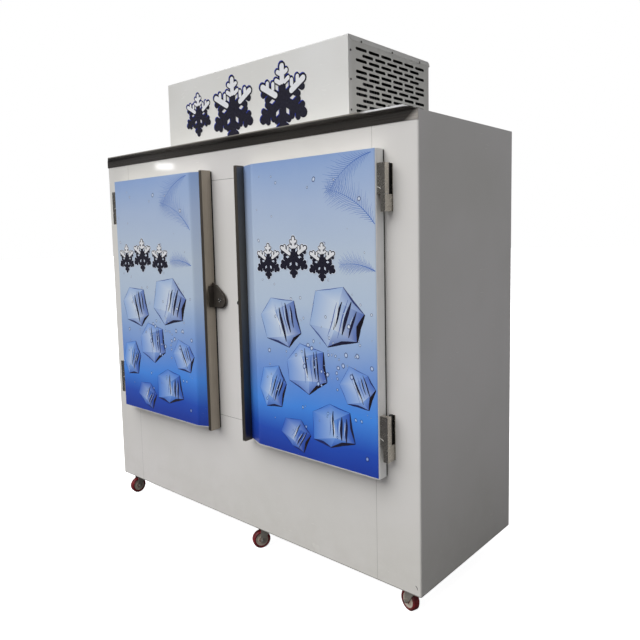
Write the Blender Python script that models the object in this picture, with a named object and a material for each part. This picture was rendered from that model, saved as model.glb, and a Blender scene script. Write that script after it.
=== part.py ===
"""Two-door bagged ice merchandiser with a top-mounted refrigeration unit, as separate pieces.

Metres, +Z up. The doors face -Y and the origin is on the floor under the middle of the cabinet.
Every piece is one named object. Doors, caster forks, wheels and fans hang on empties that sit on
their axes, so turning an empty about its axis moves the piece as the real one moves.
"""
import math

import bmesh
import bpy
from mathutils import Matrix, Vector

# Overall cabinet
CABINET_WIDTH = 1.830
CABINET_DEPTH = 0.688
CABINET_HEIGHT = 1.614
CASTER_HEIGHT = 0.105
WALL_THICKNESS = 0.060
FRONT_THICKNESS = 0.050
LINER_SKIN = 0.0015
SEAT_GAP = 0.0003
SEAM_GAP = 0.0008
CORNER_RADIUS = 0.006
REAR_REBATE = 0.030
CUT_OVERRUN = 0.010

# Front frame
STILE_WIDTH = 0.180
MULLION_WIDTH = 0.298
OPENING_BOTTOM = 0.454
HEADER_HEIGHT = 0.150
THROAT_SKIN = 0.002

# Doors
DOOR_SIDE_MARGIN = 0.131
DOOR_LAP_TOP = 0.038
DOOR_LAP_BOTTOM = 0.058
DOOR_THICKNESS = 0.042
DOOR_FREE_EDGE = 0.101
DOOR_EDGE_RADIUS = 0.002
DOOR_CORNER_RADIUS = 0.007
GASKET_THICKNESS = 0.008
GASKET_WIDTH = 0.018
GASKET_INSET = 0.001
DOOR_LINER_INSET = 0.070
DOOR_LINER_DEPTH = 0.016
DOOR_LINER_DRAFT = 0.008

# Grab edge of each door
PULL_LIP = 0.018
PULL_SKIN = 0.0015
PULL_PROUD = 0.0063
PULL_END_LAP = 0.002
PULL_DEPTH = 0.032
PULL_SLOPE = 0.077
PULL_CREASE_RADIUS = 0.030

# Lift-off hinges
HINGE_AXIS_OUT = 0.022
HINGE_AXIS_BACK = 0.0175
HINGE_UPPER_TOP = 0.0475
HINGE_LOWER_BOTTOM = 0.0635
HINGE_LEAF_HEIGHT = 0.100
HINGE_BASE_HEIGHT = 0.056
HINGE_LEAF_HALF_WIDTH = 0.0102
HINGE_LEAF_FRONT = 0.012
HINGE_LEAF_BACK = 0.012
HINGE_LEAF_BEVEL = 0.0015
HINGE_RUNNING_GAP = 0.0005
HINGE_BASE_ROUND = 0.004
HINGE_PIN_RADIUS = 0.004
HINGE_BORE_RADIUS = 0.0046
HINGE_PIN_RISE = 0.060
HINGE_PLATE_LAP = 0.0015
HINGE_PLATE_THICKNESS = 0.003

# Padlock hasps on the left door and the mullion
HASP_THICKNESS = 0.003
HASP_RADIUS = 0.031
HASP_REACH = 0.041
HASP_HEIGHT = 0.105
HASP_BOTTOM = 0.929
HASP_APEX_WIDTH = 0.006
HASP_HOLE_RADIUS = 0.0075
HASP_TAB_DEPTH = 0.028
HASP_TAB_TRIM = 0.014
HASP_STANDOFF = 0.0125
STAPLE_STANDOFF = 0.0065
STAPLE_MARGIN = 0.004
STAPLE_FOOT_SPACE = 0.010

# Lock stud on the outer side of the right door's grab edge
STUD_RADIUS = 0.0095
STUD_HEIGHT = 0.011
STUD_LEVEL = 0.961
STUD_SETBACK = 0.0105
STUD_TIP_SHARE = 0.6

# Drip rail along the top of the front
RAIL_SKIN = 0.0015
RAIL_FLANGE = 0.032
RAIL_FLARE_OUT = 0.022
RAIL_FLARE_UP = 0.015
RAIL_END_CUT = 0.042
RAIL_HEM = 0.005

# Hood over the refrigeration unit
HOOD_WIDTH = 1.092
HOOD_HEIGHT = 0.333
HOOD_SETBACK = 0.120
HOOD_BACK_MARGIN = 0.0095
HOOD_SKIN = 0.0015
HOOD_BACK_RADIUS = 0.016
HOOD_FRONT_RADIUS = 0.003
HOOD_TOP_LIP = 0.017
HOOD_FRONT_LIP = 0.020
HOOD_LIP_MITRE_GAP = 0.0015
HOOD_APRON_DROP = 0.002
HOOD_PANEL_INSET = 0.0055

# Slots of the side vent panels
SLOT_HEIGHT = 0.011
SLOT_BRIDGE = 0.0105
SLOT_FRONT_MARGIN = 0.046
SLOT_BACK_MARGIN = 0.0417
SLOT_FIRST_ROW = 0.0415
SLOT_LAST_ROW = 0.0263
SLOT_ROWS = "ABABAABAABAABA"
SLOTS_IN_LONG_ROW = 6

# Louvre slots of the rear grille
REAR_SLOT_BRIDGE = 0.050
REAR_SLOT_HEIGHT = 0.010
REAR_SLOT_COLUMNS = 4
REAR_SLOT_ROWS = 7
REAR_SLOT_SIDE_MARGIN = 0.111
REAR_SLOT_ROW_PITCH = 0.028
REAR_GRILLE_DROP = 0.012

# Refrigeration unit
UNIT_SIDE_MARGIN = 0.066
UNIT_FRONT_MARGIN = 0.0765
UNIT_BASE_HEIGHT = 0.022
UNIT_BASE_SKIN = 0.002
COMPRESSOR_RADIUS = 0.082
COMPRESSOR_HEIGHT = 0.190
COMPRESSOR_FOOT = 0.010
COMPRESSOR_OFFSET = -0.060
COMPRESSOR_NECK_SHARE = 0.35
COMPRESSOR_WALL_SHARE = 0.75
COMPRESSOR_CROWN_SHARES = (0.86, 0.92)
COIL_HEIGHT = 0.250
COIL_END_MARGIN = 0.050
COIL_THICKNESS = 0.060
COIL_FINS = 16
COIL_FIN_DEPTH = 0.008
COIL_FIN_SHARES = (0.25, 0.75)
COIL_SIDE_MARGIN = 0.120
SHROUD_DEPTH = 0.045
SHROUD_SKIN = 0.003
SHROUD_RIM = 0.010
SHROUD_ARM_WIDTH = 0.012
MOTOR_RADIUS = 0.032
MOTOR_LENGTH = 0.040
FAN_TIP_GAP = 0.007
FAN_HUB_RADIUS = 0.026
FAN_HUB_LENGTH = 0.020
FAN_BLADES = 5
FAN_BLADE_PITCH = math.radians(28.0)
FAN_BLADE_THICKNESS = 0.0025
FAN_BLADE_SPREAD = math.radians(42.0)
FAN_BLADE_SHARES = (0.0, 0.5, 1.0)
FAN_ROOT_SHARE = 0.8
FAN_LEAN_SHARE = 0.4
FAN_RUNNING_GAP = 0.0006
CONTROL_BOX_WIDTH = 0.160
CONTROL_BOX_DEPTH = 0.110
CONTROL_BOX_HEIGHT = 0.130
CONTROL_BOX_SIDE_MARGIN = 0.040
GLAND_RADIUS = 0.011
GLAND_LENGTH = 0.013
GLAND_SIDE_MARGIN = 0.056
GLAND_LEVEL = 0.030
MACHINE_BEVEL = 0.004

# Evaporator under the cavity's ceiling
EVAPORATOR_WIDTH = 0.760
EVAPORATOR_DEPTH = 0.260
EVAPORATOR_HEIGHT = 0.170
EVAPORATOR_SKIN = 0.002
EVAPORATOR_BACK_GAP = 0.050
EVAPORATOR_COIL_HEIGHT = 0.120
EVAPORATOR_COIL_DEPTH = 0.090
EVAPORATOR_FAN_RADIUS = 0.060
EVAPORATOR_OPENING_RADIUS = 0.066
EVAPORATOR_MOTOR_RADIUS = 0.020
EVAPORATOR_MOTOR_LENGTH = 0.030
EVAPORATOR_ARM_WIDTH = 0.010
EVAPORATOR_HUB_RADIUS = 0.015
EVAPORATOR_HUB_LENGTH = 0.012

# Floor rack under the bags
RACK_HEIGHT = 0.024
RACK_DECK = 0.006
RACK_MARGIN = 0.020
RACK_BAR = 0.014
RACK_SLOTS_ACROSS = 2
RACK_SLOTS_DEEP = 9

# Base tray and casters
TRAY_SKIN = 0.003
TRAY_INSET = 0.006
CASTER_PLATE_WIDTH = 0.062
CASTER_PLATE_DEPTH = 0.076
CASTER_PLATE_SKIN = 0.003
CASTER_SIDE_INSET = 0.066
CASTER_REAR_SIDE_INSET = 0.120
CASTER_FRONT_INSET = 0.060
CASTER_MIDDLE_X = 0.100
CASTER_TRAIL = 0.022
CASTER_FRONT_TURNS = (math.radians(85.0), math.radians(62.0), math.radians(-17.5))
CASTER_REAR_TURNS = (math.radians(72.0), math.radians(86.0), math.radians(90.0))
WHEEL_RADIUS = 0.0375
WHEEL_WIDTH = 0.028
WHEEL_TREAD = 0.0075
WHEEL_TREAD_ROUND = 0.004
WHEEL_DISH = 0.004
WHEEL_BOSS_RADIUS = 0.011
WHEEL_BORE_RADIUS = 0.0050
AXLE_RADIUS = 0.0040
AXLE_HEAD_RADIUS = 0.0070
AXLE_HEAD_LENGTH = 0.004
FORK_SKIN = 0.0025
FORK_CLEARANCE = 0.0025
FORK_TOP_HALF = 0.026
FORK_EYE_RADIUS = 0.010
RACE_RADIUS = 0.025
RACE_HEIGHT = 0.008

# Facets round a full turn
ROUND_FINE = 24
ROUND_WHEEL = 20
ROUND_COARSE = 16
ROUND_SMALL = 8
FILLET_STEPS = 3

# Places worked out from the sizes above
FRONT_STACK = GASKET_THICKNESS + DOOR_THICKNESS + PULL_PROUD
FRONT_Y = -(CABINET_DEPTH - FRONT_STACK) / 2
BACK_Y = FRONT_Y + CABINET_DEPTH
FLOOR_Z = CASTER_HEIGHT
TOP_Z = FLOOR_Z + CABINET_HEIGHT
SIDE_X = CABINET_WIDTH / 2
CAVITY_X = SIDE_X - WALL_THICKNESS
CAVITY_FRONT_Y = FRONT_Y + FRONT_THICKNESS
CAVITY_BACK_Y = BACK_Y - WALL_THICKNESS
CAVITY_FLOOR_Z = FLOOR_Z + WALL_THICKNESS
CAVITY_TOP_Z = TOP_Z - WALL_THICKNESS
OPENING_X = (MULLION_WIDTH / 2, SIDE_X - STILE_WIDTH)
OPENING_Z = (FLOOR_Z + OPENING_BOTTOM, TOP_Z - HEADER_HEIGHT)
DOOR_BACK_Y = FRONT_Y - GASKET_THICKNESS
DOOR_FRONT_Y = DOOR_BACK_Y - DOOR_THICKNESS
PULL_FRONT_Y = DOOR_FRONT_Y - PULL_PROUD
DOOR_Z = (OPENING_Z[0] - DOOR_LAP_BOTTOM, OPENING_Z[1] + DOOR_LAP_TOP)
DOOR_HINGE_X = SIDE_X - DOOR_SIDE_MARGIN
HINGE_X = DOOR_HINGE_X + HINGE_AXIS_OUT
HINGE_Y = DOOR_FRONT_Y + HINGE_AXIS_BACK
HOOD_X = HOOD_WIDTH / 2
HOOD_FRONT_Y = FRONT_Y + HOOD_SETBACK
HOOD_BACK_Y = BACK_Y - HOOD_BACK_MARGIN
HOOD_Z = (TOP_Z + SEAT_GAP, TOP_Z + HOOD_HEIGHT)
UNIT_Y = (HOOD_FRONT_Y + HOOD_BACK_Y) / 2
UNIT_FLOOR_Z = TOP_Z + SEAT_GAP
UNIT_DECK_Z = UNIT_FLOOR_Z + UNIT_BASE_HEIGHT
UNIT_X = HOOD_X - UNIT_SIDE_MARGIN
UNIT_HALF_DEPTH = (HOOD_BACK_Y - HOOD_FRONT_Y) / 2 - UNIT_FRONT_MARGIN
COIL_HALF_WIDTH = UNIT_HALF_DEPTH - COIL_END_MARGIN
SHROUD_OPENING_RADIUS = min(COIL_HALF_WIDTH, COIL_HEIGHT / 2) - SHROUD_RIM
FAN_RADIUS = SHROUD_OPENING_RADIUS - FAN_TIP_GAP


def clear_scene():
    """Remove every object of the start-up scene."""
    for item in list(bpy.data.objects):
        bpy.data.objects.remove(item, do_unlink=True)


def finish(name, colour, roughness, metallic=0.0):
    """Return a plain Principled material."""
    material = bpy.data.materials.new(name)
    material.use_nodes = True
    shader = material.node_tree.nodes["Principled BSDF"]
    shader.inputs["Base Color"].default_value = (*colour, 1.0)
    shader.inputs["Roughness"].default_value = roughness
    shader.inputs["Metallic"].default_value = metallic
    material.diffuse_color = (*colour, 1.0)
    return material


def empty(name, location, parent=None, turn=0.0):
    """Return an empty on a joint's axis."""
    item = bpy.data.objects.new(name, None)
    item.location = location
    item.rotation_euler = (0.0, 0.0, turn)
    item.parent = parent
    bpy.context.scene.collection.objects.link(item)
    return item


def piece(name, mesh, material, parent=None, smooth=False):
    """Link a bmesh, built in its parent's space, as a named object."""
    bmesh.ops.recalc_face_normals(mesh, faces=mesh.faces)
    data = bpy.data.meshes.new(name)
    mesh.to_mesh(data)
    mesh.free()
    if smooth:
        data.shade_smooth()
        data.set_sharp_from_angle(angle=math.radians(40.0))
    data.materials.append(material)
    item = bpy.data.objects.new(name, data)
    item.parent = parent
    bpy.context.scene.collection.objects.link(item)
    return item


def tool(name, mesh, parent=None):
    """Link a bmesh as a hidden helper for a Boolean."""
    item = piece(name, mesh, HELPER, parent)
    item.hide_render = True
    item.display_type = "WIRE"
    return item


def combine(item, helper, operation):
    """Add or cut a helper with a Boolean modifier."""
    modifier = item.modifiers.new(operation.lower(), "BOOLEAN")
    modifier.operation = operation
    modifier.object = helper
    return item


def soften(item, width, steps=1):
    """Round an object's sharp edges."""
    modifier = item.modifiers.new("edge", "BEVEL")
    modifier.width = width
    modifier.segments = steps
    modifier.limit_method = "ANGLE"
    return item


def lifted(point, level, axis):
    """Place a point of an outline at a level along an axis."""
    if axis == "X":
        return Vector((level, point[0], point[1]))
    if axis == "Y":
        return Vector((point[0], level, point[1]))
    return Vector((point[0], point[1], level))


def plate(outline, low, high, axis, holes=()):
    """Return the solid between two levels of an outline with holes."""
    mesh = bmesh.new()
    edges = []
    for loop in (outline, *holes):
        corners = [mesh.verts.new(lifted(point, low, axis)) for point in loop]
        for number, corner in enumerate(corners):
            edges.append(mesh.edges.new((corner, corners[(number + 1) % len(corners)])))
    bmesh.ops.triangle_fill(mesh, use_beauty=True, use_dissolve=False, edges=edges)
    grown = bmesh.ops.extrude_face_region(mesh, geom=mesh.faces[:])
    moved = [part for part in grown["geom"] if isinstance(part, bmesh.types.BMVert)]
    shift = lifted((0.0, 0.0), high - low, axis)
    bmesh.ops.translate(mesh, vec=shift, verts=moved)
    return mesh


def block(low, high):
    """Return a box between two corners."""
    outline = [(low[0], low[1]), (high[0], low[1]), (high[0], high[1]), (low[0], high[1])]
    return plate(outline, low[2], high[2], "Z")


def rectangle(low, high):
    """Return the four corners of a rectangle."""
    return [(low[0], low[1]), (high[0], low[1]), (high[0], high[1]), (low[0], high[1])]


def circle(centre, radius, steps, start=0.0):
    """Return points round a circle."""
    turn = 2.0 * math.pi / steps
    return [
        (centre[0] + radius * math.cos(start + turn * step), centre[1] + radius * math.sin(start + turn * step))
        for step in range(steps)
    ]


def arc(centre, radius, start, end, steps):
    """Return points along an arc, both ends included."""
    return [
        (
            centre[0] + radius * math.cos(start + (end - start) * step / steps),
            centre[1] + radius * math.sin(start + (end - start) * step / steps),
        )
        for step in range(steps + 1)
    ]


def slot(centre, length, height):
    """Return the outline of a round-ended slot that lies along the first axis."""
    radius = height / 2
    reach = length / 2 - radius
    right = arc((centre[0] + reach, centre[1]), radius, -math.pi / 2, math.pi / 2, FILLET_STEPS)
    left = arc((centre[0] - reach, centre[1]), radius, math.pi / 2, 3 * math.pi / 2, FILLET_STEPS)
    return right + left


def rounded(points, radii, steps=FILLET_STEPS):
    """Return an outline whose corners are rounded, one radius for each corner."""
    result = []
    count = len(points)
    for number, (point, radius) in enumerate(zip(points, radii)):
        corner = Vector(point)
        before = (Vector(points[number - 1]) - corner).normalized()
        after = (Vector(points[(number + 1) % count]) - corner).normalized()
        if radius <= 0.0:
            result.append(tuple(corner))
            continue
        half = before.angle(after) / 2
        reach = radius / math.tan(half)
        centre = corner + (before + after).normalized() * radius / math.sin(half)
        first = corner + before * reach - centre
        swing = (corner + after * reach - centre).angle_signed(first)
        for step in range(steps + 1):
            turned = Matrix.Rotation(swing * step / steps, 2) @ first
            result.append(tuple(centre + turned))
    return result


def turned(profile, steps, axis="Z", centre=(0.0, 0.0, 0.0), start=0.0):
    """Return a turned solid from a closed profile of radius and level pairs."""
    mesh = bmesh.new()
    rings = []
    for radius, level in profile:
        if radius <= 0.0:
            rings.append([mesh.verts.new((0.0, 0.0, level))])
            continue
        ring = circle((0.0, 0.0), radius, steps, start)
        rings.append([mesh.verts.new((x, y, level)) for x, y in ring])
    closed = all(len(ring) > 1 for ring in rings)
    pairs = list(zip(rings, rings[1:])) + ([(rings[-1], rings[0])] if closed else [])
    for lower, upper in pairs:
        for step in range(steps):
            following = (step + 1) % steps
            if len(lower) == 1:
                mesh.faces.new((lower[0], upper[following], upper[step]))
            elif len(upper) == 1:
                mesh.faces.new((lower[step], lower[following], upper[0]))
            else:
                mesh.faces.new((lower[step], lower[following], upper[following], upper[step]))
    spin = {"X": Matrix.Rotation(math.pi / 2, 4, "Y"), "Y": Matrix.Rotation(-math.pi / 2, 4, "X"), "Z": Matrix()}
    bmesh.ops.transform(mesh, matrix=Matrix.Translation(centre) @ spin[axis], verts=mesh.verts)
    return mesh


def rod(radius, low, high, steps, axis="Z", centre=(0.0, 0.0, 0.0)):
    """Return a plain cylinder between two levels of an axis."""
    return turned([(0.0, low), (radius, low), (radius, high), (0.0, high)], steps, axis, centre)


def cut_at(points, level):
    """Return the start of a falling line of points down to where it crosses a level."""
    kept = []
    for upper, lower in zip(points, points[1:]):
        kept.append(upper)
        if lower[1] < level:
            share = (upper[1] - level) / (upper[1] - lower[1])
            kept.append((upper[0] + (lower[0] - upper[0]) * share, level))
            break
    return kept


def mirrored(points, side):
    """Return an outline mirrored to the left when side is -1."""
    return [(side * point[0], *point[1:]) for point in points]


WHITE = finish("white enamel", (0.72, 0.71, 0.70), 0.25)
SHEET = finish("galvanised sheet", (0.40, 0.41, 0.40), 0.45, 0.6)
STEEL = finish("brushed stainless", (0.42, 0.39, 0.35), 0.30, 1.0)
CHROME = finish("bright zinc", (0.62, 0.61, 0.58), 0.22, 1.0)
RUBBER = finish("grey gasket", (0.10, 0.10, 0.10), 0.60)
PLASTIC = finish("white liner", (0.80, 0.80, 0.80), 0.40)
COPPER = finish("coil fins", (0.55, 0.55, 0.54), 0.40, 0.9)
BLACK = finish("black enamel", (0.03, 0.03, 0.03), 0.40)
RED = finish("red wheel", (0.28, 0.02, 0.03), 0.35)
HELPER = finish("helper", (0.5, 0.5, 0.5), 0.5)


def make_walls():
    """Foam-filled walls: sides that turn round onto the front, back, roof and floor."""
    bottom, top = FLOOR_Z, TOP_Z
    return_x = SIDE_X - STILE_WIDTH
    rebate_x = SIDE_X - REAR_REBATE
    for side, name in ((-1, "left_wall"), (1, "right_wall")):
        outline = [
            (return_x, FRONT_Y),
            (SIDE_X, FRONT_Y),
            (SIDE_X, BACK_Y),
            (rebate_x, BACK_Y),
            (rebate_x, CAVITY_BACK_Y),
            (CAVITY_X, CAVITY_BACK_Y),
            (CAVITY_X, CAVITY_FRONT_Y),
            (return_x, CAVITY_FRONT_Y),
        ]
        radii = [0.0, CORNER_RADIUS, CORNER_RADIUS, 0.0, 0.0, 0.0, 0.0, 0.0]
        outline = mirrored(rounded(outline, radii), side)
        piece(name, plate(outline, bottom, top, "Z"), WHITE)
    reach = rebate_x - SEAM_GAP
    piece("back_wall", block((-reach, CAVITY_BACK_Y + SEAT_GAP, bottom), (reach, BACK_Y, top)), WHITE)
    reach = CAVITY_X - SEAT_GAP
    front = CAVITY_FRONT_Y + SEAT_GAP
    back = CAVITY_BACK_Y
    piece("roof_panel", block((-reach, front, CAVITY_TOP_Z), (reach, back, top)), WHITE)
    piece("floor_panel", block((-reach, front, bottom), (reach, back, CAVITY_FLOOR_Z)), WHITE)


def make_front_frame():
    """Fascias above and below the doors and the mullion between them."""
    reach = SIDE_X - STILE_WIDTH - SEAM_GAP
    for name, low, high in (
        ("top_fascia", OPENING_Z[1], TOP_Z),
        ("bottom_fascia", FLOOR_Z, OPENING_Z[0]),
    ):
        piece(name, block((-reach, FRONT_Y, low), (reach, CAVITY_FRONT_Y, high)), WHITE)
    low = (-MULLION_WIDTH / 2, FRONT_Y, OPENING_Z[0] + SEAM_GAP)
    high = (MULLION_WIDTH / 2, CAVITY_FRONT_Y, OPENING_Z[1] - SEAM_GAP)
    piece("mullion", block(low, high), WHITE)


def make_liner():
    """Thin inner liner with a front wall that is open at both doors."""
    gap = SEAT_GAP
    low = (-CAVITY_X + 2 * gap, CAVITY_FRONT_Y + gap, CAVITY_FLOOR_Z + gap)
    high = (CAVITY_X - 2 * gap, CAVITY_BACK_Y - gap, CAVITY_TOP_Z - gap)
    liner = piece("inner_liner", block(low, high), PLASTIC)
    inside_low = tuple(value + LINER_SKIN for value in low)
    inside_high = tuple(value - LINER_SKIN for value in high)
    combine(liner, tool("liner_hollow", block(inside_low, inside_high)), "DIFFERENCE")
    for side, name in ((-1, "left"), (1, "right")):
        near, far = sorted((side * OPENING_X[0], side * OPENING_X[1]))
        cut_low = (near, low[1] - CUT_OVERRUN, OPENING_Z[0])
        cut_high = (far, inside_low[1] + LINER_SKIN, OPENING_Z[1])
        combine(liner, tool(f"{name}_liner_opening", block(cut_low, cut_high)), "DIFFERENCE")
        rim = rectangle((near + gap, OPENING_Z[0] + gap), (far - gap, OPENING_Z[1] - gap))
        hole = rectangle(
            (near + gap + THROAT_SKIN, OPENING_Z[0] + gap + THROAT_SKIN),
            (far - gap - THROAT_SKIN, OPENING_Z[1] - gap - THROAT_SKIN),
        )
        throat = plate(rim, FRONT_Y + gap, CAVITY_FRONT_Y, "Y", [hole])
        piece(f"{name}_throat", throat, PLASTIC)


def door_outline(side):
    """Plan outline of a door slab: square at the hinge, hollowed beside the grab edge."""
    free = DOOR_FREE_EDGE
    core = free + PULL_SKIN + SEAT_GAP
    dish = free + PULL_LIP + SEAT_GAP
    crease = free + PULL_LIP + PULL_SLOPE
    dish_y = DOOR_FRONT_Y + PULL_DEPTH
    points = [
        (DOOR_HINGE_X, DOOR_BACK_Y),
        (DOOR_HINGE_X, DOOR_FRONT_Y),
        (crease, DOOR_FRONT_Y),
        (dish, dish_y),
        (core, dish_y),
        (core, DOOR_BACK_Y),
    ]
    radii = [0.0, DOOR_CORNER_RADIUS, PULL_CREASE_RADIUS, 0.0, 0.0, 0.0]
    return mirrored(rounded(points, radii), side)


def relative(mesh, origin):
    """Move a bmesh built in the room into the space of an empty."""
    bmesh.ops.translate(mesh, vec=-Vector(origin), verts=mesh.verts)
    return mesh


def make_door(side, name):
    """One door: slab, inner panel, gasket and grab edge, hung on the hinge axis."""
    origin = (side * HINGE_X, HINGE_Y, DOOR_Z[0])
    axis = empty(f"{name}_door_axis", origin)
    slab = plate(door_outline(side), DOOR_Z[0], DOOR_Z[1], "Z")
    piece(f"{name}_door", relative(slab, origin), WHITE, axis)

    free, hinge = sorted((side * DOOR_FREE_EDGE, side * DOOR_HINGE_X))
    inset = GASKET_INSET
    rim = rectangle((free + inset, DOOR_Z[0] + inset), (hinge - inset, DOOR_Z[1] - inset))
    inset += GASKET_WIDTH
    hole = rectangle((free + inset, DOOR_Z[0] + inset), (hinge - inset, DOOR_Z[1] - inset))
    ring = plate(rim, DOOR_BACK_Y + SEAT_GAP, FRONT_Y - SEAT_GAP, "Y", [hole])
    piece(f"{name}_gasket", relative(ring, origin), RUBBER, axis)

    inset = DOOR_LINER_INSET
    back = DOOR_BACK_Y + SEAT_GAP
    panel = block(
        (free + inset, back, DOOR_Z[0] + inset),
        (hinge - inset, back + DOOR_LINER_DEPTH, DOOR_Z[1] - inset),
    )
    middle = Vector(((free + hinge) / 2, 0.0, (DOOR_Z[0] + DOOR_Z[1]) / 2))
    for corner in panel.verts:
        if corner.co.y > back + DOOR_LINER_DEPTH / 2:
            corner.co.x -= math.copysign(DOOR_LINER_DRAFT, corner.co.x - middle.x)
            corner.co.z -= math.copysign(DOOR_LINER_DRAFT, corner.co.z - middle.z)
    piece(f"{name}_door_liner", relative(panel, origin), PLASTIC, axis)

    outer, inner = DOOR_FREE_EDGE, DOOR_FREE_EDGE + PULL_LIP
    skin = PULL_SKIN
    foot_y = DOOR_FRONT_Y + PULL_DEPTH - SEAT_GAP
    section = [
        (outer, DOOR_BACK_Y),
        (outer, PULL_FRONT_Y),
        (inner, PULL_FRONT_Y),
        (inner, foot_y),
        (inner - skin, foot_y),
        (inner - skin, PULL_FRONT_Y + skin),
        (outer + skin, PULL_FRONT_Y + skin),
        (outer + skin, DOOR_BACK_Y),
    ]
    radii = [0.0, DOOR_EDGE_RADIUS, DOOR_EDGE_RADIUS, 0.0, 0.0, 0.0, 0.0, 0.0]
    low, high = DOOR_Z[0] - PULL_END_LAP, DOOR_Z[1] + PULL_END_LAP
    edge = plate(mirrored(rounded(section, radii), side), low, high, "Z")
    piece(f"{name}_pull", relative(edge, origin), STEEL, axis)
    return axis


def make_hinge(side, name, bottom, axis):
    """A lift-off hinge: a leaf on the door's side that turns on the base's pin."""
    seat = bottom + HINGE_BASE_HEIGHT
    leaf_low = seat + HINGE_RUNNING_GAP
    leaf_high = leaf_low + HINGE_LEAF_HEIGHT
    origin = Vector((side * HINGE_X, HINGE_Y, DOOR_Z[0]))
    inward = HINGE_AXIS_OUT - SEAT_GAP
    outward = HINGE_LEAF_HALF_WIDTH
    corners = [
        (-inward, -HINGE_LEAF_FRONT),
        (outward, -HINGE_LEAF_FRONT),
        (outward, HINGE_LEAF_BACK),
        (-inward, HINGE_LEAF_BACK),
    ]
    radii = [HINGE_LEAF_BEVEL, HINGE_LEAF_BEVEL, HINGE_LEAF_BEVEL, 0.0]
    outline = rounded(corners, radii)
    bore = circle((0.0, 0.0), HINGE_BORE_RADIUS, ROUND_SMALL)
    leaf = plate(mirrored(outline, side), leaf_low, leaf_high, "Z", [mirrored(bore, side)])
    bmesh.ops.translate(leaf, vec=(0.0, 0.0, -origin.z), verts=leaf.verts)
    piece(f"{name}_hinge_leaf", leaf, CHROME, axis)

    wall = FRONT_Y - SEAT_GAP
    low = HINGE_X - HINGE_LEAF_HALF_WIDTH
    high = HINGE_X + HINGE_LEAF_HALF_WIDTH
    outline = rectangle((low, FRONT_Y - HINGE_PLATE_THICKNESS), (high + HINGE_PLATE_LAP, wall))
    base = piece(f"{name}_hinge_base", plate(mirrored(outline, side), bottom, leaf_high, "Z"), CHROME)
    corners = [(low, wall), (low, HINGE_Y - HINGE_LEAF_FRONT), (high, HINGE_Y - HINGE_LEAF_FRONT), (high, wall)]
    outline = rounded(corners, [0.0, HINGE_BASE_ROUND, HINGE_LEAF_BEVEL, 0.0])
    knuckle = tool(f"{name}_hinge_knuckle", plate(mirrored(outline, side), bottom, seat, "Z"))
    place = (side * HINGE_X, HINGE_Y, 0.0)
    pin_low = seat - HINGE_PIN_RADIUS
    pin = tool(
        f"{name}_hinge_pin", rod(HINGE_PIN_RADIUS, pin_low, seat + HINGE_PIN_RISE, ROUND_SMALL, "Z", place)
    )
    for helper in (knuckle, pin):
        combine(base, helper, "UNION")


def hasp_outline(radius, margin):
    """Teardrop padlock plate seen from the front, its straight side at the left."""
    left = -DOOR_FREE_EDGE
    centre = (left + HASP_REACH, FLOOR_Z + HASP_BOTTOM + HASP_RADIUS)
    top = FLOOR_Z + HASP_BOTTOM + HASP_HEIGHT - margin
    shoulder = (left + HASP_APEX_WIDTH + margin, top)
    away = Vector(shoulder) - Vector(centre)
    tangent = math.atan2(away.y, away.x) - math.acos(radius / away.length)
    curve = arc(centre, radius, -math.pi / 2, tangent, 2 * FILLET_STEPS)
    return left, centre, [(left + margin, top), (left + margin, centre[1] - radius), *curve, shoulder]


def make_hasps(axis):
    """Padlock plates: an angle on the left door's edge over a raised plate on the mullion."""
    left, centre, outline = hasp_outline(HASP_RADIUS, SEAT_GAP)
    hole = circle(centre, HASP_HOLE_RADIUS, ROUND_COARSE)
    back = FRONT_Y - HASP_STANDOFF
    origin = Vector((-HINGE_X, HINGE_Y, DOOR_Z[0]))
    front_plate = plate(outline, back - HASP_THICKNESS, back, "Y", [hole])
    hasp = piece("door_hasp", relative(front_plate, origin), STEEL, axis)
    low = (left + SEAT_GAP, back - HASP_TAB_DEPTH, FLOOR_Z + HASP_BOTTOM)
    high = (left + SEAT_GAP + HASP_THICKNESS, back, FLOOR_Z + HASP_BOTTOM + HASP_HEIGHT - HASP_TAB_TRIM)
    tab = tool("hasp_tab", relative(block(low, high), origin), axis)
    combine(hasp, tab, "UNION")

    left, centre, outline = hasp_outline(HASP_RADIUS + STAPLE_MARGIN, STAPLE_FOOT_SPACE)
    hole = circle(centre, HASP_HOLE_RADIUS, ROUND_COARSE)
    back = FRONT_Y - STAPLE_STANDOFF
    staple = piece("frame_hasp", plate(outline, back - HASP_THICKNESS, back, "Y", [hole]), STEEL)
    edge = left + STAPLE_FOOT_SPACE
    bottom = centre[1] - HASP_RADIUS
    low = (edge, back - HASP_THICKNESS, bottom)
    high = (edge + HASP_THICKNESS, FRONT_Y - SEAT_GAP, bottom + HASP_HEIGHT / 2)
    combine(staple, tool("staple_web", block(low, high)), "UNION")


def make_stud(axis):
    """Round lock stud on the outer side of the right door's grab edge."""
    origin = Vector((HINGE_X, HINGE_Y, DOOR_Z[0]))
    face = DOOR_FREE_EDGE - SEAT_GAP
    shoulder = face - STUD_HEIGHT / 2
    tip = face - STUD_HEIGHT
    profile = [
        (0.0, face),
        (STUD_RADIUS, face),
        (STUD_RADIUS, shoulder),
        (STUD_RADIUS * STUD_TIP_SHARE, tip),
        (0.0, tip),
    ]
    centre = (0.0, PULL_FRONT_Y + STUD_SETBACK, FLOOR_Z + STUD_LEVEL)
    stud = turned(profile, ROUND_COARSE, "X", centre)
    piece("lock_stud", relative(stud, origin), CHROME, axis, smooth=True)


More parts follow.
